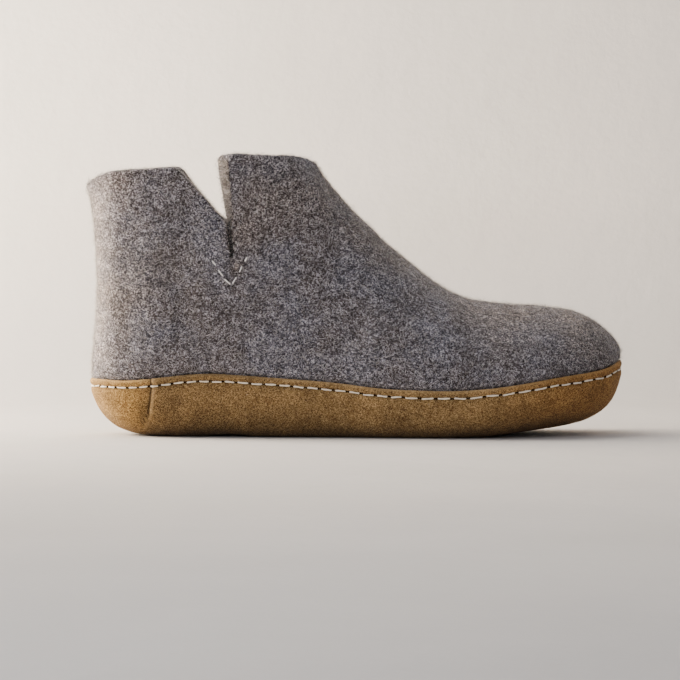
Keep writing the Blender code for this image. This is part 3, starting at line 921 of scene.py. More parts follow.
# patches of browner or bluer, darker or paler felt; the paler ones, with negative shade, are painted warm
# highlights: side (0 for both), from heel, height, reach, warmth, shade
toneAndLightPatches = [
    (0, 0.0925, 0.1200, 0.022, 0.55, 0.02),
    (0, 0.0760, 0.1010, 0.009, 0.55, 0.04),
    (-1, 0.0752, 0.0850, 0.0042, 0.9, 0.22),
    (0, 0.0160, 0.0700, 0.016, 0.45, 0.10),
    (0, 0.0330, 0.0840, 0.010, 0.35, 0.10),
    (0, 0.2480, 0.0460, 0.014, 0.70, 0.06),
    (0, 0.1180, 0.1220, 0.012, 0.60, 0.05),
    (0, 0.1340, 0.1060, 0.013, 0.65, 0.05),
    (0, 0.1520, 0.0900, 0.013, 0.60, 0.03),
    (0, 0.2080, 0.0540, 0.014, 0.50, 0.00),
    # painted warm highlights along the top of the instep and the toe
    (0, 0.2500, 0.0620, 0.010, 0.50, -0.22),
    (0, 0.2380, 0.0650, 0.011, 0.75, -0.36),
    (0, 0.2160, 0.0670, 0.012, 0.80, -0.42),
    (0, 0.1920, 0.0700, 0.012, 0.75, -0.34),
    (0, 0.1680, 0.0810, 0.011, 0.35, -0.18),
    # painted warm highlights down the heel's back, where the light from behind falls
    (0, -0.0020, 0.0400, 0.011, 0.75, -0.62),
    (0, 0.0000, 0.0560, 0.010, 0.70, -0.52),
    (0, 0.0010, 0.0740, 0.010, 0.70, -0.55),
    (0, 0.0010, 0.0920, 0.010, 0.70, -0.55),
    (0, -0.0010, 0.1120, 0.011, 0.75, -0.60),
    (0, 0.0140, 0.1270, 0.009, 0.45, -0.32),
    # bluer wool
    (0, 0.0560, 0.1120, 0.014, -0.35, 0.00),
    (0, 0.0900, 0.0640, 0.030, -0.45, 0.00),
    (0, 0.1500, 0.0500, 0.026, -0.25, 0.00),
    (0, 0.0400, 0.0460, 0.014, -0.20, -0.03),
]


def distanceToPath(points, path):
    best = np.full(len(points), 1e9)
    for a, b in zip(path, path[1:]):
        a, b = np.array(a), np.array(b)
        share = np.clip((points - a) @ (b - a) / ((b - a) @ (b - a)), 0, 1)
        best = np.minimum(best, np.linalg.norm(points - a - share[:, None] * (b - a), axis=1))
    return best


def feltRelief(places):
    relief = np.zeros(len(places))
    bank, bankAt = upper["creaseBank"]
    for size, height, seed in upper["lumps"]:
        relief += softNoise(places, size, seed) * height
    for side, path, depth, width in creases:
        away = distanceToPath(places[:, [0, 2]], path)
        near = np.exp(-(away / width) ** 2) - bank * np.exp(-((away - bankAt * width) / width) ** 2)
        relief -= np.where(places[:, 1] * side > 0, near * depth, 0)
    x, z, reach, depth = upper["toeEase"]
    return relief - depth * np.exp(-(np.hypot(places[:, 0] - x, places[:, 2] - z) / reach) ** 2)


def feltTonesAndPaintedLight(places):
    # the wool's own patches and painted warm highlights, then painted shade in the creases
    warmth = np.zeros(len(places))
    shade = np.zeros(len(places))
    for side, x, z, reach, warm, dark in toneAndLightPatches:
        away = np.hypot(places[:, 0] - x, places[:, 2] - z)
        near = np.exp(-(away / reach) ** 2) * np.where(places[:, 1] * side >= 0, 1, 0)
        warmth += near * warm
        shade += near * dark
    # painted shade in the creases' troughs
    for side, path, depth, width in creases:
        near = np.exp(-(distanceToPath(places[:, [0, 2]], path) / width) ** 2)
        shade += np.where(places[:, 1] * side > 0, near, 0) * depth * upper["creaseShade"]
    return warmth, shade


def shareAtHeight(handles, height):
    shares = np.linspace(0, 1, 400)
    heights = np.array([bezier(handles, share)[2] for share in shares])
    return float(np.interp(height, heights, shares))


def upperRows():
    column = slitColumns[0]
    slitRib = [points[column] for points in wallHere]
    notchZ = form["collarHeight"] - form["notchDepth"]
    notchShare = shareAtHeight(slitRib, notchZ)
    slitShare = shareAtHeight(slitRib, notchZ - form["slitLength"])
    rows = [("plain", bezier(sideHere, share)) for share in upper["under"]]
    above = [-1.0] * len(rows)
    speed = 3 * np.linalg.norm(wallHere[1] - wallHere[0], axis=1, keepdims=True)
    for distance in upper["aboveEdge"]:
        rows.append(("plain", bezier(wallHere, distance / speed)))
        above.append(distance)
    first = upper["aboveEdge"][-1] / speed
    length = speed * 0.8
    for row in range(1, upper["sideRows"] + 1):
        share = first + (slitShare - first) * row / upper["sideRows"]
        rows.append(("plain", bezier(wallHere, share)))
        above.append(float(np.mean(share * length)))
    ahead = (columnFromHeel - form["notchBack"]) / (form["notchPoint"] - form["notchBack"])
    cut = 0.5 * (ahead + np.sqrt(ahead ** 2 + upper["cutSoften"] ** 2))
    cut = np.clip(cut + upper["cutBelly"] * np.sin(np.pi * np.clip(ahead, 0, 1)), 0, 1)
    rearTop = 1 - (1 - notchShare) * cut
    steps = list(np.linspace(0, upper["evenTo"], upper["flapRows"])[1:]) + list(upper["nearTop"])
    onRear = columnFromHeel < form["notchPoint"] - 1e-6
    away = np.maximum(columnFromHeel - form["notchPoint"], 0)
    corner = 1 - upper["cornerDrop"] / upper["flapLength"] * np.exp(-away / upper["cornerReach"])
    wave = sum(share * softNoise(wallHere[3], size, seed) for size, share, seed in upper["waves"])
    fromSlit = np.abs(columnFromHeel - form["notchPoint"]) * upper["ribSpacing"]
    aside = form["slitWidth"] / 2 * np.exp(-fromSlit / upper["slitReach"]) * np.where(onRear, -1, 1)
    inner = columnT > ringLength / 2
    opened = np.sqrt(np.clip(ahead, 0, 1)) * (1 - smoothStep(*upper["openedTo"], ahead))
    back = np.where(inner & onRear, opened, 0) * upper["innerNotchBack"]
    for number, step in enumerate(steps):
        rear = slitShare + (rearTop - slitShare) * step
        front = slitShare + (corner - slitShare) * step
        share = np.where(onRear, rear, front)[:, None]
        points = bezier(wallHere, share)
        lift = upper["edgeWave"] * wave * step ** 6 * ~onRidge
        points = points + np.outer(lift, (0, 0, 1)) + np.outer(aside - back * step, (1, 0, 0))
        last = number == len(steps) - 1
        rows.append(("crown" if last else "flap", points))
        above.append(farFromEdge)
    # the slit's two lips: the rear one ends at the notch, the front one at the collar
    rearLip = {}
    for number, step in enumerate(steps):
        row = len(rows) - len(steps) + number
        points = rows[row][1]
        for j in slitColumns:
            handles = [h[j] for h in wallHere]
            share = slitShare + (notchShare - slitShare) * step
            rearLip[j, row] = bezier(handles, share) - (form["slitWidth"] / 2, 0, 0)
    return rows, np.array(above), rearLip, notchZ


def upperSheet():
    rows, above, rearLip, notchZ = upperRows()
    places, faces, index = joinGrid(rows, slitColumns, onRidge)
    rowOf = np.zeros(len(places), int)
    columnOf = np.zeros(len(places), int)
    frontLip = np.zeros(len(places), bool)
    backLip = np.zeros(len(places), bool)
    for (j, row, half), number in index.items():
        rowOf[number] = row
        columnOf[number] = j
        if rows[row][0] in ("flap", "crown") and j in slitColumns:
            if half == 0:
                places[number] = rearLip[j, row]
            backLip[number] = half == 0
            frontLip[number] = half == 1
    return rows, above, places, faces, rowOf, columnOf, frontLip, backLip, notchZ


def treeOf(points):
    tree = KDTree(len(points))
    for number, point in enumerate(points):
        tree.insert(point, number)
    tree.balance()
    return tree


def distanceTo(tree, places):
    return np.array([tree.find(place)[2] for place in places])


def roundedHalf(half, radius, away):
    inside = np.clip(radius - away, 0, radius)
    return half - radius + np.sqrt(np.maximum(radius ** 2 - inside ** 2, 0))


def makeUpper(material):
    rows, above, places, faces, rowOf, columnOf, frontLip, backLip, notchZ = upperSheet()
    fromHeel = columnFromHeel[columnOf]
    last = rowOf == len(rows) - 1
    heights = above[rowOf]

    relief = feltRelief(places) * smoothStep(*upper["reliefFrom"], heights)
    normals = vertexNormals(places, faces)
    places = places + normals * relief[:, None]
    normals = vertexNormals(places, faces)

    step = smoothStep(*upper["stepOut"], heights)
    belly = upper["standBack"] * np.exp(-np.maximum(heights - 0.001, 0) / upper["bellyReach"])
    back = np.where(heights < 0, upper["pressed"], upper["pressed"] * (1 - step) + belly * step)
    half = (form["felt"] - back) / 2
    middle = -(form["felt"] + back) / 2

    onCut = (fromHeel > form["notchBack"] + 1e-3) & (fromHeel < form["notchPoint"] + 1e-6)
    cutTop = last & onCut & ~frontLip
    collarEdge = last & ~cutTop & (fromHeel < form["ridgeStart"] + 1e-6)
    away = distanceTo(treeOf(places[collarEdge]), places)
    cutAway = distanceTo(treeOf(places[cutTop | frontLip | backLip]), places)
    high = heights > upper["highAbove"]
    soft = np.where(high, roundedHalf(half, upper["collarRound"], away), half)
    crisp = np.where(high, roundedHalf(half, upper["cutRound"], cutAway), half)
    half = np.minimum(soft, crisp)
    outer = places + normals * (middle + half)[:, None]
    inner = places + normals * (middle - half)[:, None]

    # the cut faces of the notch are slanted, so that they show from outside
    rise = np.clip((places[:, 2] - notchZ) / form["notchDepth"], 0, 1)
    frontAway = np.abs(fromHeel - form["notchPoint"]) * upper["ribSpacing"]
    onFront = (fromHeel > form["notchPoint"] + 1e-6) | frontLip
    near = np.exp(-(frontAway / upper["bevelReach"]) ** 2)
    lean = np.where(onFront, rise ** upper["bevelCurve"] * near, 0)
    outer[:, 0] += lean * upper["frontBevel"][0]
    inner[:, 0] -= lean * upper["frontBevel"][1]
    onBack = ~onFront & (fromHeel > form["notchBack"] - 0.1)
    tilt = np.where(onBack, np.exp(-(cutAway / upper["rearReach"]) ** 2), 0) * upper["rearBevel"]
    outer += tilt[:, None] * np.array((-0.7, 0, -0.7))
    inner += tilt[:, None] * np.array((0.7, 0, 0.7))

    warmth, shade = feltTonesAndPaintedLight(places)
    # painted shade and painted warm light on the notch's cut faces
    reach, cutShade, cutWarmth = upper["cutFace"]
    cutFace = np.exp(-(cutAway / reach) ** 2) * high
    # the slit's lips are painted dark as the shadow in its gap
    lips = (frontLip | backLip) & (places[:, 2] < notchZ - 0.001)
    lipReach, lipShade = upper["slitLips"]
    lipAway = distanceTo(treeOf(places[lips]), places)
    shade = shade + cutShade * cutFace
    shade = shade + lipShade * np.exp(-(lipAway / lipReach) ** 2)
    warmth = warmth + cutWarmth * cutFace
    shell, shellFaces = closeShell(outer, inner, faces)
    shell = toFrame(shell)
    mesh = newMesh("upperFelt", shell, shellFaces)
    storeOnShell(mesh, warmth=warmth, shade=shade)
    piece = newPiece("upperFelt", mesh, material)
    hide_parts("upper")
    print("upper:", sum(len(face) - 2 for face in shellFaces), "triangles")
    return shell, shellFaces, len(faces)


# the suede sole

sole = {
    "fromEdge": (0.0, 0.00025, 0.0006, 0.001, 0.0015, 0.0021, 0.0027, 0.0032, 0.0037, 0.0042, 0.0047,
                 0.0053, 0.0061, 0.0072),
    "sideRows": 16,
    "underRows": 5,
    "edgeRound": 0.0008,
    "seamAt": 0.0037,        # thread below the edge, and a little lower at the toe
    "seamAtToe": 0.0006,
    "groove": (-0.00055, 0.0009),  # height and width, as for the two below
    "welt": (0.00035, 0.0010),     # the strip above the thread stands proud
    "shoulder": (0.0003, 0.0022),
    "lumps": ((0.028, 0.0006, 11), (0.011, 0.00028, 12), (0.0048, 0.00010, 13)),
    "dartPath": ((0.0323, 0.0288), (0.0326, 0.0250), (0.0320, 0.0200), (0.0312, 0.0148), (0.0307, 0.0113),
                 (0.0288, 0.0086), (0.0277, 0.0071)),
    "dartStep": 0.0014,
    "dartReach": 0.007,
    "dartFade": (0.0045, 0.0085),     # heights where it starts
    "dartEdge": (-0.0002, 0.0003),
    "dartTrough": (0.45, 0.0009),
    "dartLit": (0.0011, 0.0008),      # painted highlight on the lap's edge: place and width
    "dartLine": (-0.0004, 0.0006),    # painted shade line in the lap's crease: place and width
    "dartShade": (0.32, -0.0030, 0.0026, 0.030, 0.014),
    # reach of the painted highlight down from the top edge
    "edgeReach": 0.0009,
    "seamShade": (0.26, 0.0004, 0.0008),
    "lumpsFrom": (0.0, 0.004, 0.001, 0.008),   # heights, then depths below the edge
    "weltAt": 0.44,                   # share of the thread's depth
    "shoulderBelow": 0.0028,          # under the thread
    "lengthSteps": 90,
}


def seamDepth(t):
    toToe = np.minimum(t, ringLength - t) / (ringLength / 2)
    return sole["seamAt"] + sole["seamAtToe"] * toToe ** 3


def sideLengths(handles, steps):
    shares = np.linspace(0, 1, steps)
    return shares, lengthsAlong(np.array([bezier(handles, share) for share in shares]))


def sideCurveShares(distances):
    # shares of each column's side curve at these distances below the suede's edge
    shares, gone = sideLengths(sideHere, sole["lengthSteps"])
    found = np.array([np.interp(distances, column, shares) for column in gone.T])
    return found.T, gone[-1]


def soleSheet():
    shares, length = sideCurveShares(np.array(sole["fromEdge"]))
    spine = middleLine(sideHere[0])
    contact = sideHere[3]
    rows = [("spine", spine)]
    depth = [np.full(columnCount, farFromEdge)]
    for number in range(1, sole["underRows"]):
        share = number / sole["underRows"]
        points = spine + (contact - spine) * share
        points[:, 2] = floorHeight(points[:, 0])
        rows.append(("plain", points))
        depth.append(np.full(columnCount, farFromEdge))
    lowest = shares[-1]
    for number in range(sole["sideRows"]):
        share = 1 + (lowest - 1) * number / sole["sideRows"]
        rows.append(("plain", bezier(sideHere, share[:, None])))
        depth.append(length * (1 - number / sole["sideRows"]) + sole["fromEdge"][-1])
    for distance, share in zip(sole["fromEdge"][::-1], shares[::-1]):
        rows.append(("plain", bezier(sideHere, share[:, None])))
        depth.append(np.full(columnCount, distance))
    return rows, depth


def aheadOfDart(places):
    path = np.array(sole["dartPath"])
    x = np.interp(places[:, 2], path[::-1, 1], path[::-1, 0])
    fade = smoothStep(*sole["dartFade"], places[:, 2]) * (places[:, 1] < 0)
    return places[:, 0] - x, fade


def dartLift(places):
    # the panel towards the toe laps over the heel's
    ahead, fade = aheadOfDart(places)
    step = smoothStep(*sole["dartEdge"], ahead) * np.exp(-np.maximum(ahead, 0) / sole["dartReach"])
    deep, width = sole["dartTrough"]
    trough = deep * np.exp(-((ahead + width) / width) ** 2)
    return (step - trough) * sole["dartStep"] * fade


def soleLift(places, depth, seam):
    lift = np.zeros(len(places))
    for size, height, seed in sole["lumps"]:
        lift += softNoise(places, size, seed) * height
    lowZ, highZ, lowDepth, highDepth = sole["lumpsFrom"]
    lift *= smoothStep(lowZ, highZ, places[:, 2]) * smoothStep(lowDepth, highDepth, depth)
    bands = ((seam, sole["groove"]), (seam * sole["weltAt"], sole["welt"]),
             (seam + sole["shoulderBelow"], sole["shoulder"]))
    for centre, (height, width) in bands:
        lift += height * np.exp(-((depth - centre) / width) ** 2)
    return lift + dartLift(places)


def makeSole(material):
    rows, depths = soleSheet()
    places, faces, index = joinGrid(rows, slitColumns, onRidge)
    depth = np.zeros(len(places))
    columnOf = np.zeros(len(places), int)
    flat = np.zeros(len(places), bool)
    for (j, row, half), number in index.items():
        depth[number] = depths[row][j]
        columnOf[number] = j
        flat[number] = row < sole["underRows"]
    normals = vertexNormals(places, faces)
    normals[flat] = (0, 0, -1)
    seam = seamDepth(columnT[columnOf])
    lift = soleLift(places, depth, seam)
    outer = places + normals * lift[:, None]
    half = roundedHalf(form["suede"] / 2, sole["edgeRound"], depth)
    middle = -form["suede"] / 2
    inner = outer + normals * (middle - half)[:, None]
    outer = outer + normals * (middle + half)[:, None]
    outer[:, 2] = np.maximum(outer[:, 2], np.minimum(places[:, 2], 0.0))
    shell, shellFaces = closeShell(outer, inner, faces)
    mesh = newMesh("suedeSole", toFrame(shell), shellFaces)
    # painted highlights on the dart's lapped edge and the suede's rolled top edge
    ahead, fade = aheadOfDart(places)
    litAt, litWidth = sole["dartLit"]
    lit = np.exp(-((ahead - litAt) / litWidth) ** 2) * fade
    edge = np.exp(-(depth / sole["edgeReach"]) ** 2) + lit
    # painted shade: a dark line in the dart's crease, a softer band behind it, and a band under the thread
    lineAt, lineWidth = sole["dartLine"]
    fold = np.exp(-((ahead - lineAt) / lineWidth) ** 2) * fade
    dark, darkAt, darkWidth, top, bottom = sole["dartShade"]
    soft = dark * np.exp(-((ahead - darkAt) / darkWidth) ** 2)
    fold = fold + soft * fade * smoothStep(top, bottom, places[:, 2])
    dark, below, width = sole["seamShade"]
    fold = fold + dark * np.exp(-((depth - seam - below) / width) ** 2)
    storeOnShell(mesh, cutEdge=edge, fold=fold)
    piece = newPiece("suedeSole", mesh, material)
    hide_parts("sole")
    print("sole:", sum(len(face) - 2 for face in shellFaces), "triangles")


# footbed

footbed = {
    "lumps": ((0.030, 0.0008, 21), (0.009, 0.0003, 22)),
    "rows": 7,
    "lip": (0.818, 0.80, 0.65, 0.5),   # shares of the side that its rim follows
}


def makeFootbed(material):
    low = form["suede"] + form["clearance"]
    side = form["felt"] + form["clearance"]
    high = low + form["footbed"]
    spine = middleLine(sideHere[0])
    contact = sideHere[3]
    flat = []
    for number in range(footbed["rows"] + 1):
        points = spine + (contact - spine) * number / footbed["rows"]
        points[:, 2] = floorHeight(points[:, 0])
        flat.append(points)
    lip = [bezier(sideHere, share) for share in footbed["lip"]]
    guide = [("spine", flat[0])] + [("plain", points) for points in flat[1:] + lip]
    places, faces, index = joinGrid(guide, slitColumns, onRidge)
    normals = vertexNormals(places, faces)
    at = {}
    columns = range(columnCount)
    for row in range(len(guide)):
        ends = [min(j, (columnCount - j) % columnCount) for j in columns] if row == 0 else columns
        at[row] = np.array([normals[index[j, row, 0]] for j in ends])
    first = len(flat)
    at[first] = at[first + 1]
    for row in range(first - 1):
        at[row][:] = (0, 0, -1)

    def inset(row, distance):
        return guide[row][1] - at[row] * distance

    bed = [("spine", inset(0, low))]
    bed += [("plain", inset(row, low)) for row in range(1, first)]
    bed += [("plain", inset(first, low)), ("plain", inset(first, side))]
    bed += [("plain", inset(row, side)) for row in range(first + 1, first + 4)]
    # the top is crowned up to the wall and soft underfoot
    top = []
    for row in range(first - 1, 0, -1):
        points = inset(row, high)
        lift = sum(softNoise(points, size, seed) * height for size, height, seed in footbed["lumps"])
        points[:, 2] += lift
        top.append(("plain", points))
    bed += top + [("spine", inset(0, high))]
    places, faces, _ = joinGrid(bed, slitColumns, onRidge)
    mesh = newMesh("footbedFelt", toFrame(places), faces)
    piece = newPiece("footbedFelt", mesh, material)
    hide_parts("insole")
    print("footbed:", sum(len(face) - 2 for face in faces), "triangles")


upperShell, upperFaces, upperOuterFaces = makeUpper(feltMaterial())
makeSole(suedeMaterial())
makeFootbed(footbedMaterial())


# thread: one tube for each stitch, two plies twisted, with its ends down in the holes

seam = {
    # along the outer side: number of the hole, and its place from the heel
    "outerHoles": ((0, 0.0061), (2, 0.0142), (3, 0.0202), (6, 0.0363), (12, 0.0743), (24, 0.1573),
                   (33, 0.2293), (38, 0.2585)),
    "innerPitch": 0.0068,
    "radius": 0.00038,
    "shown": 0.84,
    "sunk": 0.0012,
    "above": 0.00030,
    "wander": 0.00012,
    "twist": 1500.0,      # plies' turns, in radians a metre
    "rings": 15,
    "corners": 8,
    "lengthSteps": 160,
    "heights": (0.8, 1.2),       # how uneven the stitches are
    "sizes": (0.92, 1.08),
    "taper": 0.45,               # at the stitch's ends
    "plyDepth": 0.16,
    "holeRadius": 0.00080,
}


def sideSurface(t, depth):
    # points and outward normals on the sole's side, at a depth below the suede's edge
    handles = sideHandles(t)
    shares, gone = sideLengths(handles, seam["lengthSteps"])
    found = np.array([np.interp(depth[j], gone[:, j], shares) for j in range(len(t))])[:, None]
    points = bezier(handles, found)
    down = unit(bezier(handles, found + 0.01) - bezier(handles, np.maximum(found - 0.01, 0)))
    along = unit(np.roll(points, -1, 0) - np.roll(points, 1, 0))
    return points, unit(np.cross(down, along) * -1)


def seamLine():
    t = np.linspace(0, ringLength, 2400, endpoint=False)
    depth = seamDepth(t)
    points, normals = sideSurface(t, depth)
    if np.mean(np.sum(normals * (points - points.mean(0)), axis=1)) < 0:
        normals = -normals
    lift = soleLift(points, depth, depth)
    return points + normals * lift[:, None], normals


def holePlaces(line):
    closed = np.vstack([line, line[:1]])
    gone = lengthsAlong(closed)
    half = len(line) // 2
    numbers = np.arange(seam["outerHoles"][-1][0] + 1)
    marks = np.array(seam["outerHoles"])
    x = np.interp(numbers, marks[:, 0], marks[:, 1])
    outer = np.interp(x, line[:half, 0], gone[:half])
    rest = gone[-1] - outer[-1] + outer[0]
    count = int(round(rest / seam["innerPitch"]))
    inner = outer[-1] + rest * np.arange(1, count) / count
    return np.concatenate([outer, inner]), gone, closed


def tubeAlong(centres, normals, radius, corners, phase):
    # places, faces and ply shade of one closed tube, twisted from two plies
    along = unit(np.gradient(centres, axis=0))
    aside = unit(np.cross(along, normals))
    over = unit(np.cross(aside, along))
    length = lengthsAlong(centres)
    angle = np.arange(corners) * 2 * np.pi / corners
    turn = length * seam["twist"] + phase
    shape = np.cos(2 * angle[None, :] - turn[:, None])
    taper = np.ones(len(centres))
    taper[0] = taper[-1] = seam["taper"]
    size = radius * (1 + seam["plyDepth"] * shape) * taper[:, None]
    ring = (np.cos(angle)[None, :, None] * over[:, None, :]
            + np.sin(angle)[None, :, None] * aside[:, None, :])
    places = (centres[:, None, :] + ring * size[:, :, None]).reshape(-1, 3)
    faces = ringFaces(len(centres), corners)
    faces.append(list(range(corners))[::-1])
    faces.append([(len(centres) - 1) * corners + k for k in range(corners)])
    return places, faces, (0.5 + 0.5 * shape).ravel()


def joinParts(parts):
    places, faces, values, start = [], [], [], 0
    for part, partFaces, partValues in parts:
        places.append(part)
        values.append(partValues)
        faces += [[corner + start for corner in face] for face in partFaces]
        start += len(part)
    return np.vstack(places), faces, np.concatenate(values)


def makeSeam(material, darkMaterial):
    draw = np.random.default_rng(31)
    line, normals = seamLine()
    holes, gone, closed = holePlaces(line)
    normals = np.vstack([normals, normals[:1]])
    total = gone[-1]

    def read(values, where):
        return np.column_stack([np.interp(where % total, gone, values[:, axis]) for axis in range(3)])

    parts = []
    ends = np.append(holes[1:], holes[0] + total)
    for start, end in zip(holes, ends):
        pitch = end - start
        slack = (1 - seam["shown"]) / 2 * pitch
        share = np.linspace(0, 1, seam["rings"])
        where = start + slack + (pitch - 2 * slack) * share
        centres = read(closed, where)
        out = unit(read(normals, where))
        aside = unit(np.cross(out, np.gradient(centres, axis=0)))
        fall = np.abs(2 * share - 1) ** 7
        height = seam["above"] * draw.uniform(*seam["heights"]) * (1 - fall) - seam["sunk"] * fall
        tilt = draw.normal(0, seam["wander"]) + draw.normal(0, seam["wander"]) * (share - 0.5) * 3
        centres = centres + out * height[:, None] + aside * tilt[:, None]
        radius = seam["radius"] * draw.uniform(*seam["sizes"])
        parts.append(tubeAlong(centres, out, radius, seam["corners"], draw.uniform(0, 6.28)))
    places, faces, ply = joinParts(parts)
    mesh = newMesh("seamThread", toFrame(places), faces)
    storeValues(mesh, "ply", ply)
    newPiece("seamThread", mesh, material)

    points = read(closed, holes)
    out = unit(read(normals, holes))
    along = unit(read(closed, holes + 0.0005) - points)
    makeHoles(toFrame(points), out, along, darkMaterial, draw)
    print("seam:", len(holes), "stitches")


hole = {
    "corners": 12,
    # rings from outside: width, height over the suede, darkness of the painted shade
    "profile": ((1.30, -0.00015, 0.0), (1.05, 0.00018, 0.0), (0.85, 0.00020, 0.6), (0.60, 0.00010, 1.0)),
    "pitHeight": 0.00006,
    "sizes": (0.85, 1.15),
    "long": 1.1,          # along the seam
    "wide": 0.85,
}


def makeHoles(points, out, along, material, draw):
    # a puckered ring round a pit, painted dark as the shade in and round the hole
    corners, profile = hole["corners"], hole["profile"]
    angle = np.arange(corners) * 2 * np.pi / corners
    parts = []
    for point, normal, forward in zip(points, out, along):
        side = np.cross(normal, forward)
        size = seam["holeRadius"] * draw.uniform(*hole["sizes"])
        ring = (np.outer(np.cos(angle), forward) * hole["long"]
                + np.outer(np.sin(angle), side) * hole["wide"])
        rings = [point + normal * height + size * width * ring for width, height, dark in profile]
        places = np.vstack(rings + [point + normal * hole["pitHeight"]])
        faces = ringFaces(len(profile), corners)
        last = (len(profile) - 1) * corners
        faces += [[last + k, last + (k + 1) % corners, last + corners] for k in range(corners)]
        dark = np.repeat([row[2] for row in profile] + [1.0], [corners] * len(profile) + [1])
        parts.append((places, faces, dark))
    places, faces, dark = joinParts(parts)
    mesh = newMesh("seamHoles", places, faces)
    storeValues(mesh, "depth", dark)
    newPiece("seamHoles", mesh, material)


# the two arms of thread that hold the felt below each slit: from heel, height, at both ends
notchThread = {
    "stitches": ((0.0626, 0.0883, 0.0642, 0.0861), (0.0655, 0.0837, 0.0679, 0.0808),
                 (0.0687, 0.0791, 0.0716, 0.0766), (0.0727, 0.0770, 0.0746, 0.0802),
                 (0.0761, 0.0827, 0.0773, 0.0856), (0.0788, 0.0881, 0.0798, 0.0900)),
    "radius": 0.00034,
    "sunk": 0.0006,
    "above": 0.00030,
    "rings": 9,
    "corners": 6,
    "overrun": 0.06,      # how far each stitch runs past its holes
    "eyeAway": 0.2,       # the rays that find the felt start from here
}


def makeNotchThread(material, shell, faces):
    surface = BVHTree.FromPolygons([tuple(place) for place in shell], faces)
    draw = np.random.default_rng(32)
    parts = []
    for side in (-1, 1):
        for x0, z0, x1, z1 in notchThread["stitches"]:
            share = np.linspace(-notchThread["overrun"], 1 + notchThread["overrun"], notchThread["rings"])
            centres, out = [], []
            for step in share:
                start = Vector((x0 + (x1 - x0) * step - form["heelToMiddle"],
                                side * notchThread["eyeAway"], z0 + (z1 - z0) * step))
                hit, normal, _, _ = surface.ray_cast(start, Vector((0, -side, 0)))
                centres.append(hit)
                out.append(normal)
            centres, out = np.array(centres), unit(np.array(out).mean(0, keepdims=True))
            fall = np.abs(np.linspace(-1, 1, len(share))) ** 5
            height = notchThread["above"] * (1 - fall) - notchThread["sunk"] * fall
            centres = centres + out * height[:, None]
            parts.append(tubeAlong(centres, np.repeat(out, len(share), 0), notchThread["radius"],
                                   notchThread["corners"], draw.uniform(0, 6.28)))
    places, faces, ply = joinParts(parts)
    mesh = newMesh("notchThread", places, faces)
    storeValues(mesh, "ply", ply)
    newPiece("notchThread", mesh, material)
    print("notch thread:", len(parts), "stitches")


makeSeam(threadMaterial("creamThread"), holeMaterial())
makeNotchThread(threadMaterial("greyThread"), upperShell, upperFaces)


# wool strands: each one a thin closed spindle with one or two bends

def triangleFan(faces):
    return np.array([(face[0], face[k], face[k + 1]) for face in faces for k in range(1, len(face) - 1)])


def scatter(places, faces, count, draw, density=None):
    triangles = triangleFan(faces)
    a, b, c = (places[triangles[:, k]] for k in range(3))
    cross = np.cross(b - a, c - a)
    area = np.linalg.norm(cross, axis=1)
    weight = area if density is None else area * density((a + b + c) / 3)
    pick = draw.choice(len(triangles), count, p=weight / weight.sum())
    u, v = draw.random(count), draw.random(count)
    over = u + v > 1
    u[over], v[over] = 1 - u[over], 1 - v[over]
    points = a[pick] + (b - a)[pick] * u[:, None] + (c - a)[pick] * v[:, None]
    return points, cross[pick] / area[pick][:, None]


strand = {
    "swirlSize": 0.018,   # strands close together lean the same way
    "ownTone": 0.35,      # share of a strand's tone that is its own
    "tuftTone": 0.36,
}


def growStrands(name, material, points, normals, look, seed):
    draw = np.random.default_rng(seed)
    count = len(points)
    level = unit(np.cross(normals, (0, 0, 1)) + 1e-9)
    upward = np.cross(level, normals)
    swirl = look["swirl"] * softNoise(points, strand["swirlSize"], seed)
    angle = draw.normal(0, look["spread"], count) + swirl
    flow = level * np.cos(angle)[:, None] + upward * np.sin(angle)[:, None]
    flow *= np.where(draw.random(count) < 0.5, -1, 1)[:, None]
    length = draw.uniform(*look["length"], count) * draw.uniform(0.7, 1.3, count)
    rise = draw.uniform(*look["rise"], count)
    bends = look["bends"]
    steps = bends + 1
    path = [points - normals * look["rooted"]]
    direction = unit(flow + normals * rise[:, None])
    for step in range(steps):
        path.append(path[-1] + direction * (length / steps)[:, None])
        turn = unit(np.cross(normals, flow)) * draw.normal(0, look["curl"], count)[:, None]
        settle = normals * (look["settle"] * draw.uniform(0.6, 1.4, count))[:, None]
        direction = unit(direction + turn - settle)
    radius = draw.uniform(*look["radius"], count)
    aside = unit(np.cross(flow, normals))
    places = np.empty((count, 2 + 3 * bends, 3))
    places[:, 0] = path[0]
    places[:, -1] = path[-1]
    for bend in range(bends):
        for corner in range(3):
            turned = corner * 2 * np.pi / 3
            spoke = aside * math.cos(turned) + normals * math.sin(turned)
            places[:, 1 + bend * 3 + corner] = path[bend + 1] + spoke * radius[:, None]
    pattern = []
    for k in range(3):
        after = (k + 1) % 3
        pattern.append((0, 1 + after, 1 + k))
        for bend in range(bends - 1):
            low, high = 1 + bend * 3, 4 + bend * 3
            pattern.append((low + k, low + after, high + after))
            pattern.append((low + k, high + after, high + k))
        end = 1 + (bends - 1) * 3
        pattern.append((1 + 3 * bends, end + k, end + after))
    size = 2 + 3 * bends
    faces = (np.array(pattern)[None] + (np.arange(count) * size)[:, None, None]).reshape(-1, 3)
    mesh = newMesh(name, places.reshape(-1, 3), faces)
    # light and dark strands lie in small tufts
    tufts = softNoise(points, look["tuft"], 9)
    own = strand["ownTone"]
    tone = own * draw.random(count) + (1 - own) * (0.5 + strand["tuftTone"] * tufts / tufts.std())
    storeValues(mesh, "tone", np.repeat(np.clip(tone, 0, 1), size))
    newPiece(name, mesh, material, smooth=False)
    print(name + ":", len(faces), "triangles")


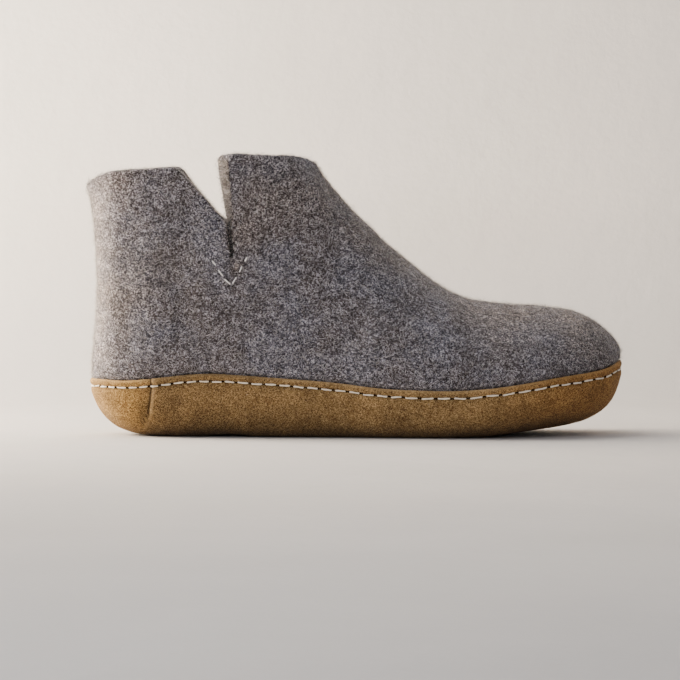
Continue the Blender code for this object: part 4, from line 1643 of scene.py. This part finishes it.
lyingLight = {
    "count": 14000, "length": (0.0014, 0.0040), "radius": (0.00006, 0.00011), "rise": (0.02, 0.16),
    "settle": 0.10, "curl": 0.35, "spread": 0.75, "swirl": 0.9, "bends": 2, "rooted": 0.00004,
    "tuft": 0.0016,
}
lyingDark = dict(lyingLight, count=10000, radius=(0.00007, 0.00013), rise=(0.0, 0.12))
fuzz = {
    "count": 32000, "length": (0.0006, 0.0019), "radius": (0.000022, 0.000042), "rise": (0.3, 1.6),
    "settle": 0.15, "curl": 0.5, "spread": 1.4, "swirl": 0.5, "bends": 1, "rooted": 0.0001,
    "tuft": 0.0012,
}
longFuzz = dict(fuzz, count=14000, length=(0.0014, 0.0044), radius=(0.00002, 0.000036), bends=2)
edgeFuzz = dict(fuzz, count=15000, length=(0.0007, 0.0026), radius=(0.00003, 0.000055))


# where the wool grows
coat = {
    "lowest": 0.75,           # share of the suede's rim height
    "fadeIn": 0.003,
    "middleMore": 0.9,        # thicker near the shoe's middle line
    "middleReach": 0.011,
    "edgeReach": 0.012,
    "rimsMore": 5,
    "insideHigh": 0.09,
    "insideFade": 0.04,
    "insideLeast": 0.1,
    "onRims": 4,              # one edge fibre in four stands on a cut edge
}

# the cut edges above the slits
notchHeight = form["collarHeight"] - form["notchDepth"]
rims = [face for face in upperFaces[2 * upperOuterFaces:] if upperShell[face][:, 2].mean() > notchHeight]
outside = upperFaces[:upperOuterFaces]


def nearMiddle(middle, reach):
    return np.exp(-(middle[:, 1] / reach) ** 2)


def aboveSuede(middle):
    low = form["suedeRim"] * coat["lowest"]
    return smoothStep(low - coat["fadeIn"], low, middle[:, 2])


def woolRoots(count, seed, inside):
    # outside and on the rims, with a few inside the ankle where they can be seen
    draw = np.random.default_rng(seed)
    high = coat["insideHigh"]

    def density(middle):
        # thicker down the heel's back and along the instep, where hands have teased it out
        return aboveSuede(middle) * (1 + coat["middleMore"] * nearMiddle(middle, coat["middleReach"]))

    def insideDensity(middle):
        return smoothStep(high - coat["insideFade"], high, middle[:, 2]) + coat["insideLeast"]

    points, normals = scatter(upperShell, outside + coat["rimsMore"] * rims, int(count * (1 - inside)),
                              draw, density)
    lining = upperFaces[upperOuterFaces:2 * upperOuterFaces]
    more = scatter(upperShell, lining, count - len(points), draw, insideDensity)
    return np.vstack([points, more[0]]), np.vstack([normals, more[1]])


def edgeRoots(count, seed):
    # on the cut edges, the heel's back and the instep, where the light picks the fibres out
    draw = np.random.default_rng(seed)

    def density(middle):
        return aboveSuede(middle) * nearMiddle(middle, coat["edgeReach"])

    few = count // coat["onRims"]
    onRims = scatter(upperShell, rims, few, draw)
    onBack = scatter(upperShell, outside, count - few, draw, density)
    return np.vstack([onRims[0], onBack[0]]), np.vstack([onRims[1], onBack[1]])


# darkest and lightest strand, roughness
woolTones = {
    "paleWool": ((0.27, 0.247, 0.26), (0.72, 0.68, 0.68), 0.8),
    "darkWool": ((0.016, 0.012, 0.011), (0.080, 0.058, 0.048), 0.85),
    "mixedWool": ((0.035, 0.028, 0.028), (0.82, 0.73, 0.66), 0.8),
    # painted rim light: pale cream strands for the fibres at the edges that catch the light from behind
    "rimLitWool": ((0.10, 0.075, 0.062), (0.98, 0.87, 0.76), 0.8),
}
wools = {name: fibreMaterial(name, *tones) for name, tones in woolTones.items()}

# name, wool, look, seeds of the roots and of the growth, share inside
layers = (
    ("paleStrands", "paleWool", lyingLight, 41, 51, 0.08),
    ("darkStrands", "darkWool", lyingDark, 42, 52, 0.08),
    ("shortFuzz", "mixedWool", fuzz, 43, 53, 0.10),
    ("longFuzz", "mixedWool", longFuzz, 44, 54, 0.10),
)
for name, wool, look, rootSeed, growSeed, inside in layers:
    roots = woolRoots(look["count"], rootSeed, inside)
    growStrands(name, wools[wool], *roots, look, growSeed)
# the edge fibres wear painted rim light
growStrands("edgeFuzz", wools["rimLitWool"], *edgeRoots(edgeFuzz["count"], 45), edgeFuzz, 55)


# floor, wall, light and camera

studio = {
    "wallAt": 0.40,
    "cove": 0.10,
    "reach": 3.0,
    "wallHeight": 1.6,
    "floorColour": (0.60, 0.57, 0.545),
    "wallColour": (0.86, 0.81, 0.755),
    "wallFrom": (0.0, 0.14),
    "worldColour": (0.86, 0.90, 1.0),
    "worldStrength": 0.40,
    # name, place, aims at, size, energy, colour
    "lights": (
        ("window", (-0.66, 0.13, 0.26), (-0.10, 0.0, 0.07), 0.40, 20.0, (1.0, 0.87, 0.70)),
        ("overhead", (-0.30, 0.12, 0.90), (0.0, 0.0, 0.05), 0.7, 6.0, (1.0, 0.94, 0.86)),
        ("fill", (-0.45, -1.15, 0.55), (0.0, 0.0, 0.05), 0.9, 5.0, (0.93, 0.955, 1.0)),
        ("behind", (-1.80, -0.20, 1.00), (-1.70, -0.20, 0.0), 1.4, 16.0, (1.0, 0.95, 0.88)),
    ),
}


def stageMaterial(name, floor, wall):
    # seen from behind, the wall isn't there
    material, tree, shader, where = newMaterial(name, 0.85, Specular_IOR_Level=0.2)
    cloud = noiseNode(tree, where, 5.0, 3.0, 0.55)
    height = splitNode(tree, where)["Z"]
    colour = mixNode(tree, rangeNode(tree, height, *studio["wallFrom"]), floor, wall)
    colourShaded(tree, shader, colour, rangeNode(tree, cloud, 0.3, 0.7, 0.94, 1.0))
    bumpFrom(tree, shader, noiseNode(tree, where, 60.0, 4.0, 0.6), 0.0006)
    behind = addNode(tree, "NewGeometry").outputs["Backfacing"]
    link(tree, mathNode(tree, "SUBTRACT", 1.0, behind), shader.inputs["Alpha"])
    return material


def makeStage():
    turns = np.linspace(0, np.pi / 2, 17)
    bend = [(studio["wallAt"] - studio["cove"] * (1 - math.sin(a)), studio["cove"] * (1 - math.cos(a)))
            for a in turns]
    profile = [(-studio["reach"], 0.0), (-0.5, 0.0)] + bend + [(studio["wallAt"], studio["wallHeight"])]
    places = [(x, y, z) for y, z in profile for x in (-studio["reach"], studio["reach"])]
    faces = [[2 * k, 2 * k + 1, 2 * k + 3, 2 * k + 2] for k in range(len(profile) - 1)]
    reach, start = studio["reach"], studio["wallAt"] - studio["cove"]
    behind = [(-reach, start, 0.0), (reach, start, 0.0), (reach, reach, 0.0), (-reach, reach, 0.0)]
    material = stageMaterial("paleFloor", studio["floorColour"], studio["wallColour"])
    for name, corners, patches in (("studioSweep", places, faces), ("floorBehind", behind, [[0, 1, 2, 3]])):
        mesh = newMesh(name, corners, patches)
        mesh.materials.append(material)
        mesh.shade_smooth()
        intoScene(name, mesh)


def facing(direction):
    return direction.to_track_quat("-Z", "Y").to_euler()


def makeLights():
    for name, place, aim, size, energy, colour in studio["lights"]:
        light = bpy.data.lights.new(name, "AREA")
        light.shape = "DISK"
        light.size = size
        light.energy = energy
        light.color = colour
        lamp = intoScene(name, light)
        lamp.location = place
        lamp.rotation_euler = facing(Vector(aim) - Vector(place))
    world = bpy.data.worlds.new("softDaylight")
    world.use_nodes = True
    sky = world.node_tree.nodes["Background"]
    sky.inputs["Color"].default_value = (*studio["worldColour"], 1)
    sky.inputs["Strength"].default_value = studio["worldStrength"]
    bpy.context.scene.world = world


eye = {
    "aim": (-0.00727, 0.0, 0.0476),
    "away": 2.40,
    "down": 2.2,          # degrees
    "frameWidth": 0.3427,  # what the picture's width takes in at the shoe
}


def makeCamera():
    lens = bpy.data.cameras.new("eye")
    lens.sensor_width = 36.0
    lens.lens = lens.sensor_width * eye["away"] / eye["frameWidth"]
    lens.clip_start = 0.05
    camera = intoScene("eye", lens)
    pitch = math.radians(eye["down"])
    back = Vector((0, -math.cos(pitch), math.sin(pitch))) * eye["away"]
    camera.location = Vector(eye["aim"]) + back
    camera.rotation_euler = facing(-back)
    bpy.context.scene.camera = camera


makeStage()
makeLights()
makeCamera()
print("stage, lights and camera ready")
